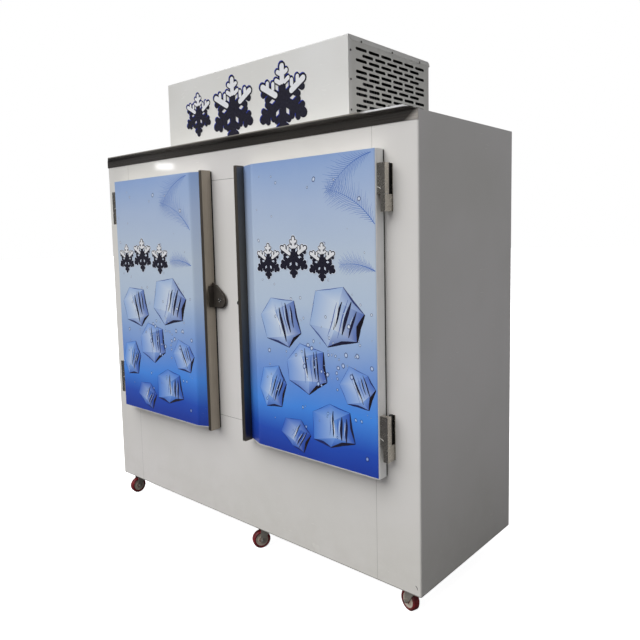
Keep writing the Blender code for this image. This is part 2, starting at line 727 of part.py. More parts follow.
def make_drip_rail():
    """Folded rail: a flange on the front and a lip that flares up and forward."""
    skin = RAIL_SKIN
    wall = FRONT_Y - SEAT_GAP
    flange_low = TOP_Z - RAIL_FLANGE
    tip = (wall - skin - RAIL_FLARE_OUT, TOP_Z + RAIL_FLARE_UP)
    section = [
        (wall, flange_low),
        (wall, TOP_Z),
        tip,
        (tip[0], tip[1] - RAIL_HEM),
        (wall - skin, TOP_Z - skin),
        (wall - skin, flange_low),
    ]
    rail = plate(section, -SIDE_X, SIDE_X, "X")
    for corner in rail.verts:
        share = max(0.0, wall - skin - corner.co.y) / RAIL_FLARE_OUT
        corner.co.x -= math.copysign(RAIL_END_CUT * share, corner.co.x)
    piece("drip_rail", rail, STEEL)


def make_hood():
    """Hood: a folded cover, slotted side panels and a slotted back."""
    low, high = HOOD_Z
    skin = HOOD_SKIN
    apron = high - HOOD_TOP_LIP - HOOD_APRON_DROP
    outer = rounded(
        [(HOOD_FRONT_Y, low), (HOOD_FRONT_Y, high), (HOOD_BACK_Y, high), (HOOD_BACK_Y, apron)],
        [0.0, HOOD_FRONT_RADIUS, HOOD_BACK_RADIUS, 0.0],
    )
    inner = rounded(
        [
            (HOOD_BACK_Y - skin, apron),
            (HOOD_BACK_Y - skin, high - skin),
            (HOOD_FRONT_Y + skin, high - skin),
            (HOOD_FRONT_Y + skin, low),
        ],
        [0.0, HOOD_BACK_RADIUS - skin, HOOD_FRONT_RADIUS - skin, 0.0],
    )
    cover = piece("hood_cover", plate(outer + inner, -HOOD_X, HOOD_X, "X"), WHITE)
    edge = skin / 2
    mitre = (HOOD_FRONT_Y + HOOD_FRONT_LIP, high - HOOD_TOP_LIP)
    corner = (HOOD_FRONT_Y + edge, high - edge)
    gap = HOOD_LIP_MITRE_GAP
    bend = (HOOD_BACK_Y - HOOD_BACK_RADIUS, high - HOOD_BACK_RADIUS)
    curve = arc(bend, HOOD_BACK_RADIUS - edge, math.pi / 2, 0.0, FILLET_STEPS)
    curve = cut_at([*curve, (HOOD_BACK_Y - edge, apron)], mitre[1])
    top_lip = [(corner[0] + gap, corner[1]), *curve, (mitre[0] + gap, mitre[1])]
    foot = low + SEAT_GAP
    front_lip = [(corner[0], foot), (corner[0], corner[1] - gap), (mitre[0], mitre[1] - gap), (mitre[0], foot)]
    for side, name in ((-1, "left"), (1, "right")):
        near, far = sorted((side * (HOOD_X - skin), side * (HOOD_X - SEAT_GAP)))
        combine(cover, tool(f"{name}_hood_top_lip", plate(top_lip, near, far, "X")), "UNION")
        combine(cover, tool(f"{name}_hood_front_lip", plate(front_lip, near, far, "X")), "UNION")

    margin = skin + SEAT_GAP
    panel = rounded(
        [
            (HOOD_FRONT_Y + margin, low),
            (HOOD_FRONT_Y + margin, high - margin),
            (HOOD_BACK_Y - HOOD_PANEL_INSET, high - margin),
            (HOOD_BACK_Y - HOOD_PANEL_INSET, low),
        ],
        [0.0, HOOD_FRONT_RADIUS - margin, HOOD_BACK_RADIUS - margin, 0.0],
    )
    holes = []
    start, end = HOOD_FRONT_Y + SLOT_FRONT_MARGIN, HOOD_BACK_Y - SLOT_BACK_MARGIN
    pitch = (end - start + SLOT_BRIDGE) / SLOTS_IN_LONG_ROW
    row_pitch = (HOOD_HEIGHT - SLOT_FIRST_ROW - SLOT_LAST_ROW) / (len(SLOT_ROWS) - 1)
    for row, kind in enumerate(SLOT_ROWS):
        count = SLOTS_IN_LONG_ROW if kind == "A" else SLOTS_IN_LONG_ROW - 1
        level = high - SLOT_FIRST_ROW - row * row_pitch
        first = (start + end) / 2 - (count - 1) * pitch / 2
        for number in range(count):
            holes.append(slot((first + number * pitch, level), pitch - SLOT_BRIDGE, SLOT_HEIGHT))
    for side, name in ((-1, "left"), (1, "right")):
        outside = HOOD_X - skin - SEAT_GAP
        near, far = sorted((side * (outside - skin), side * outside))
        piece(f"{name}_vent_panel", plate(panel, near, far, "X", holes), SHEET)

    reach = HOOD_X - 2 * skin - 3 * SEAT_GAP
    back = HOOD_BACK_Y - HOOD_PANEL_INSET
    grille_top = high - REAR_GRILLE_DROP
    holes = []
    middle = (low + grille_top) / 2
    pitch = (HOOD_WIDTH - 2 * REAR_SLOT_SIDE_MARGIN + REAR_SLOT_BRIDGE) / REAR_SLOT_COLUMNS
    for column in range(REAR_SLOT_COLUMNS):
        for row in range(REAR_SLOT_ROWS):
            x = (column - (REAR_SLOT_COLUMNS - 1) / 2) * pitch
            z = middle + (row - (REAR_SLOT_ROWS - 1) / 2) * REAR_SLOT_ROW_PITCH
            holes.append(slot((x, z), pitch - REAR_SLOT_BRIDGE, REAR_SLOT_HEIGHT))
    grille = plate(rectangle((-reach, low), (reach, grille_top)), back - skin, back, "Y", holes)
    piece("rear_grille", grille, SHEET)
    gland = turned(
        [
            (0.0, SEAT_GAP),
            (GLAND_RADIUS, SEAT_GAP),
            (GLAND_RADIUS, GLAND_LENGTH / 2),
            (GLAND_RADIUS / 2, GLAND_LENGTH),
            (0.0, GLAND_LENGTH),
        ],
        ROUND_COARSE,
        "Y",
        (HOOD_X - GLAND_SIDE_MARGIN, back, low + GLAND_LEVEL),
    )
    piece("cord_gland", gland, BLACK)


def fan_mesh(radius, hub_radius, hub_length, blades, axis, centre, steps):
    """Return a fan of twisted blades fused to a hub, as separate bmeshes of hub and blades."""
    hub = rod(hub_radius, -hub_length / 2, hub_length / 2, steps, "Z")
    parts = [hub]
    half = FAN_BLADE_SPREAD / 2
    thickness = FAN_BLADE_THICKNESS
    lean = math.tan(FAN_BLADE_PITCH)
    root = hub_radius * FAN_ROOT_SHARE
    for number in range(blades):
        middle = 2 * math.pi * number / blades
        blade = bmesh.new()
        rows = []
        for share in FAN_BLADE_SHARES:
            reach = root + (radius - root) * share
            swing = half * (1 + share) / 2
            row = []
            for turn in (-1.0, 0.0, 1.0):
                angle = middle + turn * swing
                rise = turn * min(reach * math.sin(swing) * lean, hub_length * FAN_LEAN_SHARE)
                for face in (-0.5, 0.5):
                    point = (reach * math.cos(angle), reach * math.sin(angle), rise + face * thickness)
                    row.append(blade.verts.new(point))
            rows.append(row)
        for lower, upper in zip(rows, rows[1:]):
            for left in (0, 2):
                blade.faces.new((lower[left], lower[left + 2], upper[left + 2], upper[left]))
                blade.faces.new((lower[left + 1], upper[left + 1], upper[left + 3], lower[left + 3]))
            blade.faces.new((lower[0], upper[0], upper[1], lower[1]))
            blade.faces.new((lower[4], lower[5], upper[5], upper[4]))
        for row in (rows[0], rows[-1]):
            blade.faces.new((row[0], row[1], row[3], row[2]))
            blade.faces.new((row[2], row[3], row[5], row[4]))
        parts.append(blade)
    spin = {"X": Matrix.Rotation(math.pi / 2, 4, "Y"), "Y": Matrix.Rotation(-math.pi / 2, 4, "X")}[axis]
    for part in parts:
        bmesh.ops.transform(part, matrix=Matrix.Translation(centre) @ spin, verts=part.verts)
    return parts


def make_fan(name, material, parent, **sizes):
    """Join a fan's blades to its hub."""
    hub, *blades = fan_mesh(**sizes)
    fan = piece(name, hub, material, parent)
    for number, blade in enumerate(blades, start=1):
        combine(fan, tool(f"{name}_blade_{number}", blade, parent), "UNION")
    return fan


def make_unit():
    """Condensing unit on top of the cabinet: base pan, compressor, coil, shroud and fan."""
    deck = UNIT_DECK_Z
    low = (-UNIT_X, UNIT_Y - UNIT_HALF_DEPTH, UNIT_FLOOR_Z)
    high = (UNIT_X, UNIT_Y + UNIT_HALF_DEPTH, deck)
    base = piece("unit_base", block(low, high), SHEET)
    inside = tool(
        "unit_base_hollow",
        block(
            (low[0] + UNIT_BASE_SKIN, low[1] - CUT_OVERRUN, low[2] - CUT_OVERRUN),
            (high[0] - UNIT_BASE_SKIN, high[1] + CUT_OVERRUN, deck - UNIT_BASE_SKIN),
        ),
    )
    combine(base, inside, "DIFFERENCE")

    floor = deck + SEAT_GAP
    neck = COMPRESSOR_RADIUS * COMPRESSOR_NECK_SHARE
    crown_radius, crown_level = COMPRESSOR_CROWN_SHARES
    profile = [
        (0.0, floor),
        (COMPRESSOR_RADIUS + COMPRESSOR_FOOT, floor),
        (COMPRESSOR_RADIUS + COMPRESSOR_FOOT, floor + COMPRESSOR_FOOT / 2),
        (COMPRESSOR_RADIUS, floor + COMPRESSOR_FOOT),
        (COMPRESSOR_RADIUS, floor + COMPRESSOR_HEIGHT * COMPRESSOR_WALL_SHARE),
        (COMPRESSOR_RADIUS * crown_radius, floor + COMPRESSOR_HEIGHT * crown_level),
        (neck, floor + COMPRESSOR_HEIGHT),
        (0.0, floor + COMPRESSOR_HEIGHT),
    ]
    shell = turned(profile, ROUND_COARSE, "Z", (COMPRESSOR_OFFSET, UNIT_Y, 0.0))
    piece("compressor", shell, BLACK, smooth=True)

    coil_x = (UNIT_X - COIL_SIDE_MARGIN - COIL_THICKNESS, UNIT_X - COIL_SIDE_MARGIN)
    coil_y = (UNIT_Y - COIL_HALF_WIDTH, UNIT_Y + COIL_HALF_WIDTH)
    pitch = 2 * COIL_HALF_WIDTH / COIL_FINS
    fin_start, fin_end = COIL_FIN_SHARES
    outline = [(coil_x[0], coil_y[0]), (coil_x[1], coil_y[0])]
    for number in range(COIL_FINS):
        start = coil_y[0] + number * pitch
        groove = coil_x[1] - COIL_FIN_DEPTH
        outline += [
            (coil_x[1], start + pitch * fin_start),
            (groove, start + pitch * fin_start),
            (groove, start + pitch * fin_end),
            (coil_x[1], start + pitch * fin_end),
        ]
    outline += [(coil_x[1], coil_y[1]), (coil_x[0], coil_y[1])]
    piece("condenser_coil", plate(outline, floor, floor + COIL_HEIGHT, "Z"), COPPER)

    shroud_x = (coil_x[0] - SEAT_GAP - SHROUD_DEPTH, coil_x[0] - SEAT_GAP)
    centre = (UNIT_Y, floor + COIL_HEIGHT / 2)
    outline = rectangle((coil_y[0], floor), (coil_y[1], floor + COIL_HEIGHT))
    opening = circle(centre, SHROUD_OPENING_RADIUS, ROUND_FINE)
    shroud = piece("fan_shroud", plate(outline, shroud_x[0], shroud_x[1], "X", [opening]), BLACK)
    hollow = block(
        (shroud_x[0] + SHROUD_SKIN, coil_y[0] + SHROUD_SKIN, floor + SHROUD_SKIN),
        (shroud_x[1] + CUT_OVERRUN, coil_y[1] - SHROUD_SKIN, floor + COIL_HEIGHT - SHROUD_SKIN),
    )
    combine(shroud, tool("shroud_hollow", hollow), "DIFFERENCE")
    arm_x = (shroud_x[0] - SHROUD_ARM_WIDTH / 2, shroud_x[0] + SHROUD_SKIN)
    arms = rectangle(
        (centre[0] - SHROUD_ARM_WIDTH / 2, floor + SHROUD_SKIN),
        (centre[0] + SHROUD_ARM_WIDTH / 2, floor + COIL_HEIGHT - SHROUD_SKIN),
    )
    combine(shroud, tool("shroud_arm", plate(arms, arm_x[0], shroud_x[0] + SHROUD_SKIN / 2, "X")), "UNION")
    motor_x = (arm_x[0] - MOTOR_LENGTH, arm_x[0] + SHROUD_SKIN / 2)
    motor = rod(MOTOR_RADIUS, motor_x[0], motor_x[1], ROUND_COARSE, "X", (0.0, *centre))
    combine(shroud, tool("shroud_motor", motor), "UNION")

    hub_x = shroud_x[0] + SHROUD_SKIN / 2 + FAN_RUNNING_GAP + FAN_HUB_LENGTH / 2
    spot = (hub_x, *centre)
    axis = empty("condenser_fan_axis", spot)
    make_fan(
        "condenser_fan",
        BLACK,
        axis,
        radius=FAN_RADIUS,
        hub_radius=FAN_HUB_RADIUS,
        hub_length=FAN_HUB_LENGTH,
        blades=FAN_BLADES,
        axis="X",
        centre=(0.0, 0.0, 0.0),
        steps=ROUND_SMALL,
    )

    box_x = CONTROL_BOX_SIDE_MARGIN - UNIT_X
    low = (box_x, UNIT_Y - CONTROL_BOX_DEPTH / 2, floor)
    high = (box_x + CONTROL_BOX_WIDTH, UNIT_Y + CONTROL_BOX_DEPTH / 2, floor + CONTROL_BOX_HEIGHT)
    soften(piece("control_box", block(low, high), SHEET), MACHINE_BEVEL)


def make_evaporator():
    """Evaporator under the ceiling: a cover with its coil and motor, and a fan in its front."""
    skin = EVAPORATOR_SKIN
    top = CAVITY_TOP_Z - 2 * SEAT_GAP - LINER_SKIN
    back = CAVITY_BACK_Y - EVAPORATOR_BACK_GAP
    front = back - EVAPORATOR_DEPTH
    bottom = top - EVAPORATOR_HEIGHT
    half = EVAPORATOR_WIDTH / 2
    cover = piece("evaporator", block((-half, front, bottom), (half, back, top)), WHITE)
    hollow = block(
        (-half + skin, front + skin, bottom + skin), (half - skin, back + CUT_OVERRUN, top - skin)
    )
    combine(cover, tool("evaporator_hollow", hollow), "DIFFERENCE")
    level = (bottom + top) / 2
    hole = rod(
        EVAPORATOR_OPENING_RADIUS, front - CUT_OVERRUN, front + skin * 2, ROUND_FINE, "Y", (0.0, 0.0, level)
    )
    combine(cover, tool("evaporator_opening", hole), "DIFFERENCE")
    coil = block(
        (-half + skin / 2, back - EVAPORATOR_COIL_DEPTH, top - EVAPORATOR_COIL_HEIGHT),
        (half - skin / 2, back - skin, top - skin / 2),
    )
    combine(cover, tool("evaporator_core", coil), "UNION")
    arm_y = front + skin + EVAPORATOR_ARM_WIDTH
    arm = block(
        (-EVAPORATOR_ARM_WIDTH / 2, arm_y, bottom + skin / 2),
        (EVAPORATOR_ARM_WIDTH / 2, arm_y + EVAPORATOR_ARM_WIDTH, top - skin / 2),
    )
    combine(cover, tool("evaporator_arm", arm), "UNION")
    motor_y = (arm_y + EVAPORATOR_ARM_WIDTH / 2, arm_y + EVAPORATOR_ARM_WIDTH / 2 + EVAPORATOR_MOTOR_LENGTH)
    motor = rod(EVAPORATOR_MOTOR_RADIUS, motor_y[0], motor_y[1], ROUND_SMALL, "Y", (0.0, 0.0, level))
    combine(cover, tool("evaporator_motor", motor), "UNION")
    spot = (0.0, arm_y - FAN_RUNNING_GAP - EVAPORATOR_HUB_LENGTH / 2, level)
    axis = empty("evaporator_fan_axis", spot)
    make_fan(
        "evaporator_fan",
        BLACK,
        axis,
        radius=EVAPORATOR_FAN_RADIUS,
        hub_radius=EVAPORATOR_HUB_RADIUS,
        hub_length=EVAPORATOR_HUB_LENGTH,
        blades=FAN_BLADES,
        axis="Y",
        centre=(0.0, 0.0, 0.0),
        steps=ROUND_SMALL,
    )


def make_rack():
    """Slatted rack that keeps the bags off the cavity's floor."""
    floor = CAVITY_FLOOR_Z + 2 * SEAT_GAP + LINER_SKIN
    deck = floor + RACK_HEIGHT
    reach = CAVITY_X - RACK_MARGIN
    front = CAVITY_FRONT_Y + RACK_MARGIN
    back = CAVITY_BACK_Y - RACK_MARGIN
    width = (2 * reach - (RACK_SLOTS_ACROSS + 1) * RACK_BAR) / RACK_SLOTS_ACROSS
    depth = (back - front - (RACK_SLOTS_DEEP + 1) * RACK_BAR) / RACK_SLOTS_DEEP
    holes = []
    for column in range(RACK_SLOTS_ACROSS):
        for row in range(RACK_SLOTS_DEEP):
            x = -reach + RACK_BAR + column * (width + RACK_BAR)
            y = front + RACK_BAR + row * (depth + RACK_BAR)
            holes.append(rectangle((x, y), (x + width, y + depth)))
    outline = rectangle((-reach, front), (reach, back))
    rack = piece("floor_rack", plate(outline, deck - RACK_DECK, deck, "Z", holes), SHEET)
    for number, x in enumerate((-reach, -RACK_BAR / 2, reach - RACK_BAR), start=1):
        low = (x, front, floor)
        high = (x + RACK_BAR, back, deck - RACK_DECK / 2)
        combine(rack, tool(f"rack_runner_{number}", block(low, high)), "UNION")


def caster_places():
    """Yield each caster's name, place and turn."""
    rows = (
        ("front", FRONT_Y + CASTER_FRONT_INSET, SIDE_X - CASTER_SIDE_INSET, CASTER_FRONT_TURNS),
        ("rear", BACK_Y - CASTER_FRONT_INSET, SIDE_X - CASTER_REAR_SIDE_INSET, CASTER_REAR_TURNS),
    )
    for row, y, reach, turns in rows:
        columns = (("left", -reach), ("middle", CASTER_MIDDLE_X), ("right", reach))
        for (column, x), turn in zip(columns, turns):
            yield f"{row}_{column}", (x, y), turn


def make_base():
    """Base tray with the casters' mounting plates welded under it."""
    top = FLOOR_Z - SEAT_GAP
    low = top - TRAY_SKIN
    x = SIDE_X - TRAY_INSET
    tray = piece("base_tray", block((-x, FRONT_Y + TRAY_INSET, low), (x, BACK_Y - TRAY_INSET, top)), SHEET)
    for name, (x, y), _ in caster_places():
        corner = (x - CASTER_PLATE_WIDTH / 2, y - CASTER_PLATE_DEPTH / 2, low - CASTER_PLATE_SKIN)
        other = (x + CASTER_PLATE_WIDTH / 2, y + CASTER_PLATE_DEPTH / 2, low + TRAY_SKIN / 2)
        combine(tray, tool(f"{name}_caster_plate", block(corner, other)), "UNION")


def fork_parts():
    """Return the fork's race, crown, legs and axle in the swivel's space."""
    top = CASTER_HEIGHT - 2 * SEAT_GAP - TRAY_SKIN - CASTER_PLATE_SKIN
    crown_top = top - RACE_HEIGHT
    crown_low = crown_top - FORK_SKIN
    inside = WHEEL_WIDTH / 2 + FORK_CLEARANCE
    outside = inside + FORK_SKIN
    race = rod(RACE_RADIUS, crown_low + FORK_SKIN / 2, top, ROUND_COARSE)
    crown = block((-FORK_TOP_HALF, -outside, crown_low), (FORK_TOP_HALF, outside, crown_top))
    eye = (-CASTER_TRAIL, WHEEL_RADIUS)
    round_eye = arc(eye, FORK_EYE_RADIUS, -math.pi, 0.0, 2 * FILLET_STEPS)
    outline = [(FORK_TOP_HALF, crown_top), (-FORK_TOP_HALF, crown_top), *round_eye]
    legs = [
        plate(outline, inside, outside, "Y"),
        plate(outline, -outside, -inside, "Y"),
    ]
    reach = outside + AXLE_HEAD_LENGTH
    profile = [
        (0.0, -reach),
        (AXLE_HEAD_RADIUS, -reach),
        (AXLE_HEAD_RADIUS, -inside - FORK_SKIN / 2),
        (AXLE_RADIUS, -inside - FORK_SKIN / 2),
        (AXLE_RADIUS, inside + FORK_SKIN / 2),
        (AXLE_HEAD_RADIUS, inside + FORK_SKIN / 2),
        (AXLE_HEAD_RADIUS, reach),
        (0.0, reach),
    ]
    axle = turned(profile, ROUND_SMALL, "Y", (eye[0], 0.0, eye[1]))
    return race, [crown, *legs, axle]


def wheel_profile():
    """Closed profile of a wheel: bore, boss, dished hub and rounded tread."""
    half = WHEEL_WIDTH / 2
    tread = WHEEL_RADIUS / math.cos(math.pi / ROUND_WHEEL)
    rim = WHEEL_RADIUS - WHEEL_TREAD
    round_off = WHEEL_TREAD_ROUND
    side = [
        (WHEEL_BORE_RADIUS, half),
        (WHEEL_BOSS_RADIUS, half),
        (WHEEL_BOSS_RADIUS + WHEEL_DISH, half - WHEEL_DISH),
        (rim - WHEEL_DISH, half - WHEEL_DISH),
        (rim, half),
        (tread - round_off, half),
        (tread, half - round_off),
    ]
    return side + [(radius, -level) for radius, level in reversed(side)]


def make_casters():
    """Six swivel casters whose wheels trail behind the swivel."""
    wheel_data = None
    for name, (x, y), turn in caster_places():
        swivel = empty(f"{name}_swivel_axis", (x, y, 0.0), turn=turn)
        race, others = fork_parts()
        fork = piece(f"{name}_fork", race, CHROME, swivel)
        for number, part in enumerate(others, start=1):
            combine(fork, tool(f"{name}_fork_part_{number}", part, swivel), "UNION")
        axle = empty(f"{name}_wheel_axis", (-CASTER_TRAIL, 0.0, WHEEL_RADIUS), swivel)
        if wheel_data is None:
            shape = turned(wheel_profile(), ROUND_WHEEL, "Y", start=math.pi / ROUND_WHEEL)
            wheel = piece(f"{name}_wheel", shape, RED, axle, smooth=True)
            wheel_data = wheel.data
            continue
        wheel = bpy.data.objects.new(f"{name}_wheel", wheel_data)
        wheel.parent = axle
        bpy.context.scene.collection.objects.link(wheel)


def main():
    """Build every piece."""
    make_walls()
    make_front_frame()
    make_liner()
    left_axis = make_door(-1, "left")
    right_axis = make_door(1, "right")
    upper = DOOR_Z[1] - HINGE_UPPER_TOP - HINGE_LEAF_HEIGHT - HINGE_RUNNING_GAP - HINGE_BASE_HEIGHT
    lower = DOOR_Z[0] + HINGE_LOWER_BOTTOM
    for side, name, axis in ((-1, "left", left_axis), (1, "right", right_axis)):
        make_hinge(side, f"{name}_upper", upper, axis)
        make_hinge(side, f"{name}_lower", lower, axis)
    make_hasps(left_axis)
    make_stud(right_axis)
    make_drip_rail()
    make_hood()
    make_unit()
    make_evaporator()
    make_rack()
    make_base()
    make_casters()


clear_scene()
main()
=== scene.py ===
"""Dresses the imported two-door ice merchandiser for its picture.

model.glb brings every CAD solid. This script gives each one its finish, adds the small fittings
and the printed work that the solids leave out, and sets the floor, the lights and the camera.
Metres, +Z up, doors towards -Y, origin on the floor under the middle of the cabinet.
"""

import logging
import math
import random
from dataclasses import dataclass
from enum import Enum
from typing import Callable, Sequence

import bmesh
import bpy
from mathutils import Matrix, Vector


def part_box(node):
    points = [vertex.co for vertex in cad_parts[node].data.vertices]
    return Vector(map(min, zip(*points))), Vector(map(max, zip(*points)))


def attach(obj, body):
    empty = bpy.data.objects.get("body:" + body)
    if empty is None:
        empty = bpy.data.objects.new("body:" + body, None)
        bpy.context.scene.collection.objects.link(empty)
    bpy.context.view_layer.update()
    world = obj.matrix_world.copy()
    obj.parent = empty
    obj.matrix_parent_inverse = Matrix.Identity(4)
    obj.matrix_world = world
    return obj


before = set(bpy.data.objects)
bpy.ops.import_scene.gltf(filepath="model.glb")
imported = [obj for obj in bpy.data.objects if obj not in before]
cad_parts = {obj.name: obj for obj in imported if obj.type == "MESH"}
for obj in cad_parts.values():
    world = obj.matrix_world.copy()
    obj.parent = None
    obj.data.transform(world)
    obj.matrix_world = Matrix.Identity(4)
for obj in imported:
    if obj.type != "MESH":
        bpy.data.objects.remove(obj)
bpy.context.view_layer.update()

LOG = logging.getLogger("ice_merchandiser")

Colour = tuple[float, float, float, float]
Point = tuple[float, float]
Triple = tuple[float, float, float]
Socket = bpy.types.NodeSocket
Mesh = bmesh.types.BMesh
Feed = float | Triple | Colour | Socket


class Side(Enum):
    """The two sides of the cabinet, as the sign of x."""

    LEFT = -1
    RIGHT = 1

    @property
    def word(self) -> str:
        """The side's name as the nodes use it."""
        return self.name.lower()


class Along(Enum):
    """The way a brushed grain runs, as the stretch of its pattern on each axis."""

    WIDTH = (3.0, 900.0, 900.0)
    HEIGHT = (900.0, 900.0, 3.0)


@dataclass(frozen=True)
class Tint:
    """A colour in screen values from 0 to 255."""

    red: float
    green: float
    blue: float

    def linear(self) -> Colour:
        """The colour in the renderer's linear values."""
        return (*(self._channel(value / 255.0) for value in (self.red, self.green, self.blue)), 1.0)

    def towards(self, other: "Tint", share: float) -> "Tint":
        """Blend with another colour.

        Args:
            other: The colour to move towards.
            share: How far to move, from 0 to 1.

        Returns:
            The blended colour.
        """
        pairs = ((self.red, other.red), (self.green, other.green), (self.blue, other.blue))
        return Tint(*(first + (second - first) * share for first, second in pairs))

    @staticmethod
    def _channel(value: float) -> float:
        """One channel from screen to linear."""
        return value / 12.92 if value <= 0.04045 else ((value + 0.055) / 1.055) ** 2.4


WHITE = Tint(255, 255, 255)
BLACK = Tint(0, 0, 0)
INK = Tint(15, 13, 52)
FLAKE_INK = Tint(12, 9, 34)
Ring = tuple[float, Tint]


class Graph:
    """A node tree being built, with short calls for the nodes that finishes need."""

    def __init__(self, tree: bpy.types.NodeTree) -> None:
        """Keep the tree.

        Args:
            tree: The node tree to build in.
        """
        self.tree = tree

    def node(self, kind: str, **settings: object) -> bpy.types.Node:
        """Add a node.

        Args:
            kind: Blender's name of the node type.
            settings: Attributes to set on it.

        Returns:
            The new node.
        """
        item = self.tree.nodes.new(kind)
        for key, value in settings.items():
            setattr(item, key, value)
        return item

    def feed(self, socket: Socket, value: Feed) -> None:
        """Link a socket, or set its own value.

        Args:
            socket: The input to feed.
            value: Another socket, or a plain value.
        """
        if isinstance(value, Socket):
            self.tree.links.new(value, socket)
        else:
            socket.default_value = value

    def fill(self, item: bpy.types.Node, **inputs: Feed) -> None:
        """Feed a node's named inputs.

        Args:
            item: The node.
            inputs: Values for its inputs, underscores for spaces.
        """
        for name, value in inputs.items():
            self.feed(item.inputs[name.replace("_", " ")], value)

    def math(self, operation: str, first: Feed, second: Feed = 0.0, clamp: bool = False) -> Socket:
        """Work out one value from two.

        Args:
            operation: The Math node's operation.
            first: First value.
            second: Second value.
            clamp: Whether to hold the result between 0 and 1.

        Returns:
            The result's socket.
        """
        item = self.node("ShaderNodeMath", operation=operation, use_clamp=clamp)
        self.feed(item.inputs[0], first)
        self.feed(item.inputs[1], second)
        return item.outputs[0]

    def stretch(self, vector: Feed, amount: Feed) -> Socket:
        """Multiply a vector by another, axis by axis.

        Args:
            vector: The vector.
            amount: The factor on each axis.

        Returns:
            The stretched vector.
        """
        item = self.node("ShaderNodeVectorMath", operation="MULTIPLY")
        self.feed(item.inputs[0], vector)
        self.feed(item.inputs[1], amount)
        return item.outputs["Vector"]

    def dot(self, first: Feed, second: Feed) -> Socket:
        """The dot product of two vectors.

        Args:
            first: First vector.
            second: Second vector.

        Returns:
            The product's socket.
        """
        item = self.node("ShaderNodeVectorMath", operation="DOT_PRODUCT")
        self.feed(item.inputs[0], first)
        self.feed(item.inputs[1], second)
        return item.outputs["Value"]

    def split(self, vector: Feed) -> tuple[Socket, Socket, Socket]:
        """Take a vector apart.

        Args:
            vector: The vector.

        Returns:
            Its x, y and z.
        """
        item = self.node("ShaderNodeSeparateXYZ")
        self.feed(item.inputs[0], vector)
        return item.outputs[0], item.outputs[1], item.outputs[2]

    def mix(self, share: Feed, first: Feed, second: Feed) -> Socket:
        """Mix two colours.

        Args:
            share: How much of the second colour shows.
            first: First colour.
            second: Second colour.

        Returns:
            The mixed colour.
        """
        item = self.node("ShaderNodeMix", data_type="RGBA")
        self.feed(item.inputs[0], share)
        self.feed(item.inputs[6], first)
        self.feed(item.inputs[7], second)
        return item.outputs[2]

    def noise(self, place: Feed, scale: Feed, detail: float = 2.0, roughness: float = 0.5) -> Socket:
        """A cloudy value from 0 to 1.

        Args:
            place: The position it is read at.
            scale: Features to a metre.
            detail: Octaves.
            roughness: Weight of the finer octaves.

        Returns:
            The value's socket.
        """
        item = self.node("ShaderNodeTexNoise")
        self.fill(item, Vector=place, Scale=scale, Detail=detail, Roughness=roughness)
        return item.outputs[0]

    def spread(self, value: Feed, low: Feed, high: Feed, start: Feed = 0.0, end: Feed = 1.0) -> Socket:
        """Map one range of a value to another, held at its ends.

        Args:
            value: The value.
            low: Where the input range starts.
            high: Where it ends.
            start: The result at low.
            end: The result at high.

        Returns:
            The mapped value.
        """
        item = self.node("ShaderNodeMapRange", clamp=True)
        for socket, feed in zip(item.inputs, (value, low, high, start, end)):
            self.feed(socket, feed)
        return item.outputs[0]

    def ramp(self, value: Feed, stops: Sequence[tuple[float, Colour]]) -> Socket:
        """A colour ramp.

        Args:
            value: The value it is read at.
            stops: Places from 0 to 1 and their colours.

        Returns:
            The colour.
        """
        item = self.node("ShaderNodeValToRGB")
        points = item.color_ramp.elements
        while len(points) < len(stops):
            points.new(0.5)
        for point, (place, colour) in zip(points, stops):
            point.position = place
            point.color = colour
        self.feed(item.inputs[0], value)
        return item.outputs[0]

    def group(self, tree: bpy.types.NodeTree, output: str, **inputs: Feed) -> Socket:
        """Place a shared effect.

        Args:
            tree: The effect's node group.
            output: The output wanted.
            inputs: Values for its named inputs, underscores for spaces.

        Returns:
            The output's socket.
        """
        item = self.node("ShaderNodeGroup", node_tree=tree)
        self.fill(item, **inputs)
        return item.outputs[output]

    def bump(self, height: Feed, depth: float, strength: float = 1.0) -> Socket:
        """Turn a height into a normal.

        Args:
            height: The height, from 0 to 1.
            depth: How deep 1 is, in metres.
            strength: How much of it shows.

        Returns:
            The normal's socket.
        """
        item = self.node("ShaderNodeBump")
        self.fill(item, Strength=strength, Distance=depth, Height=height)
        return item.outputs["Normal"]


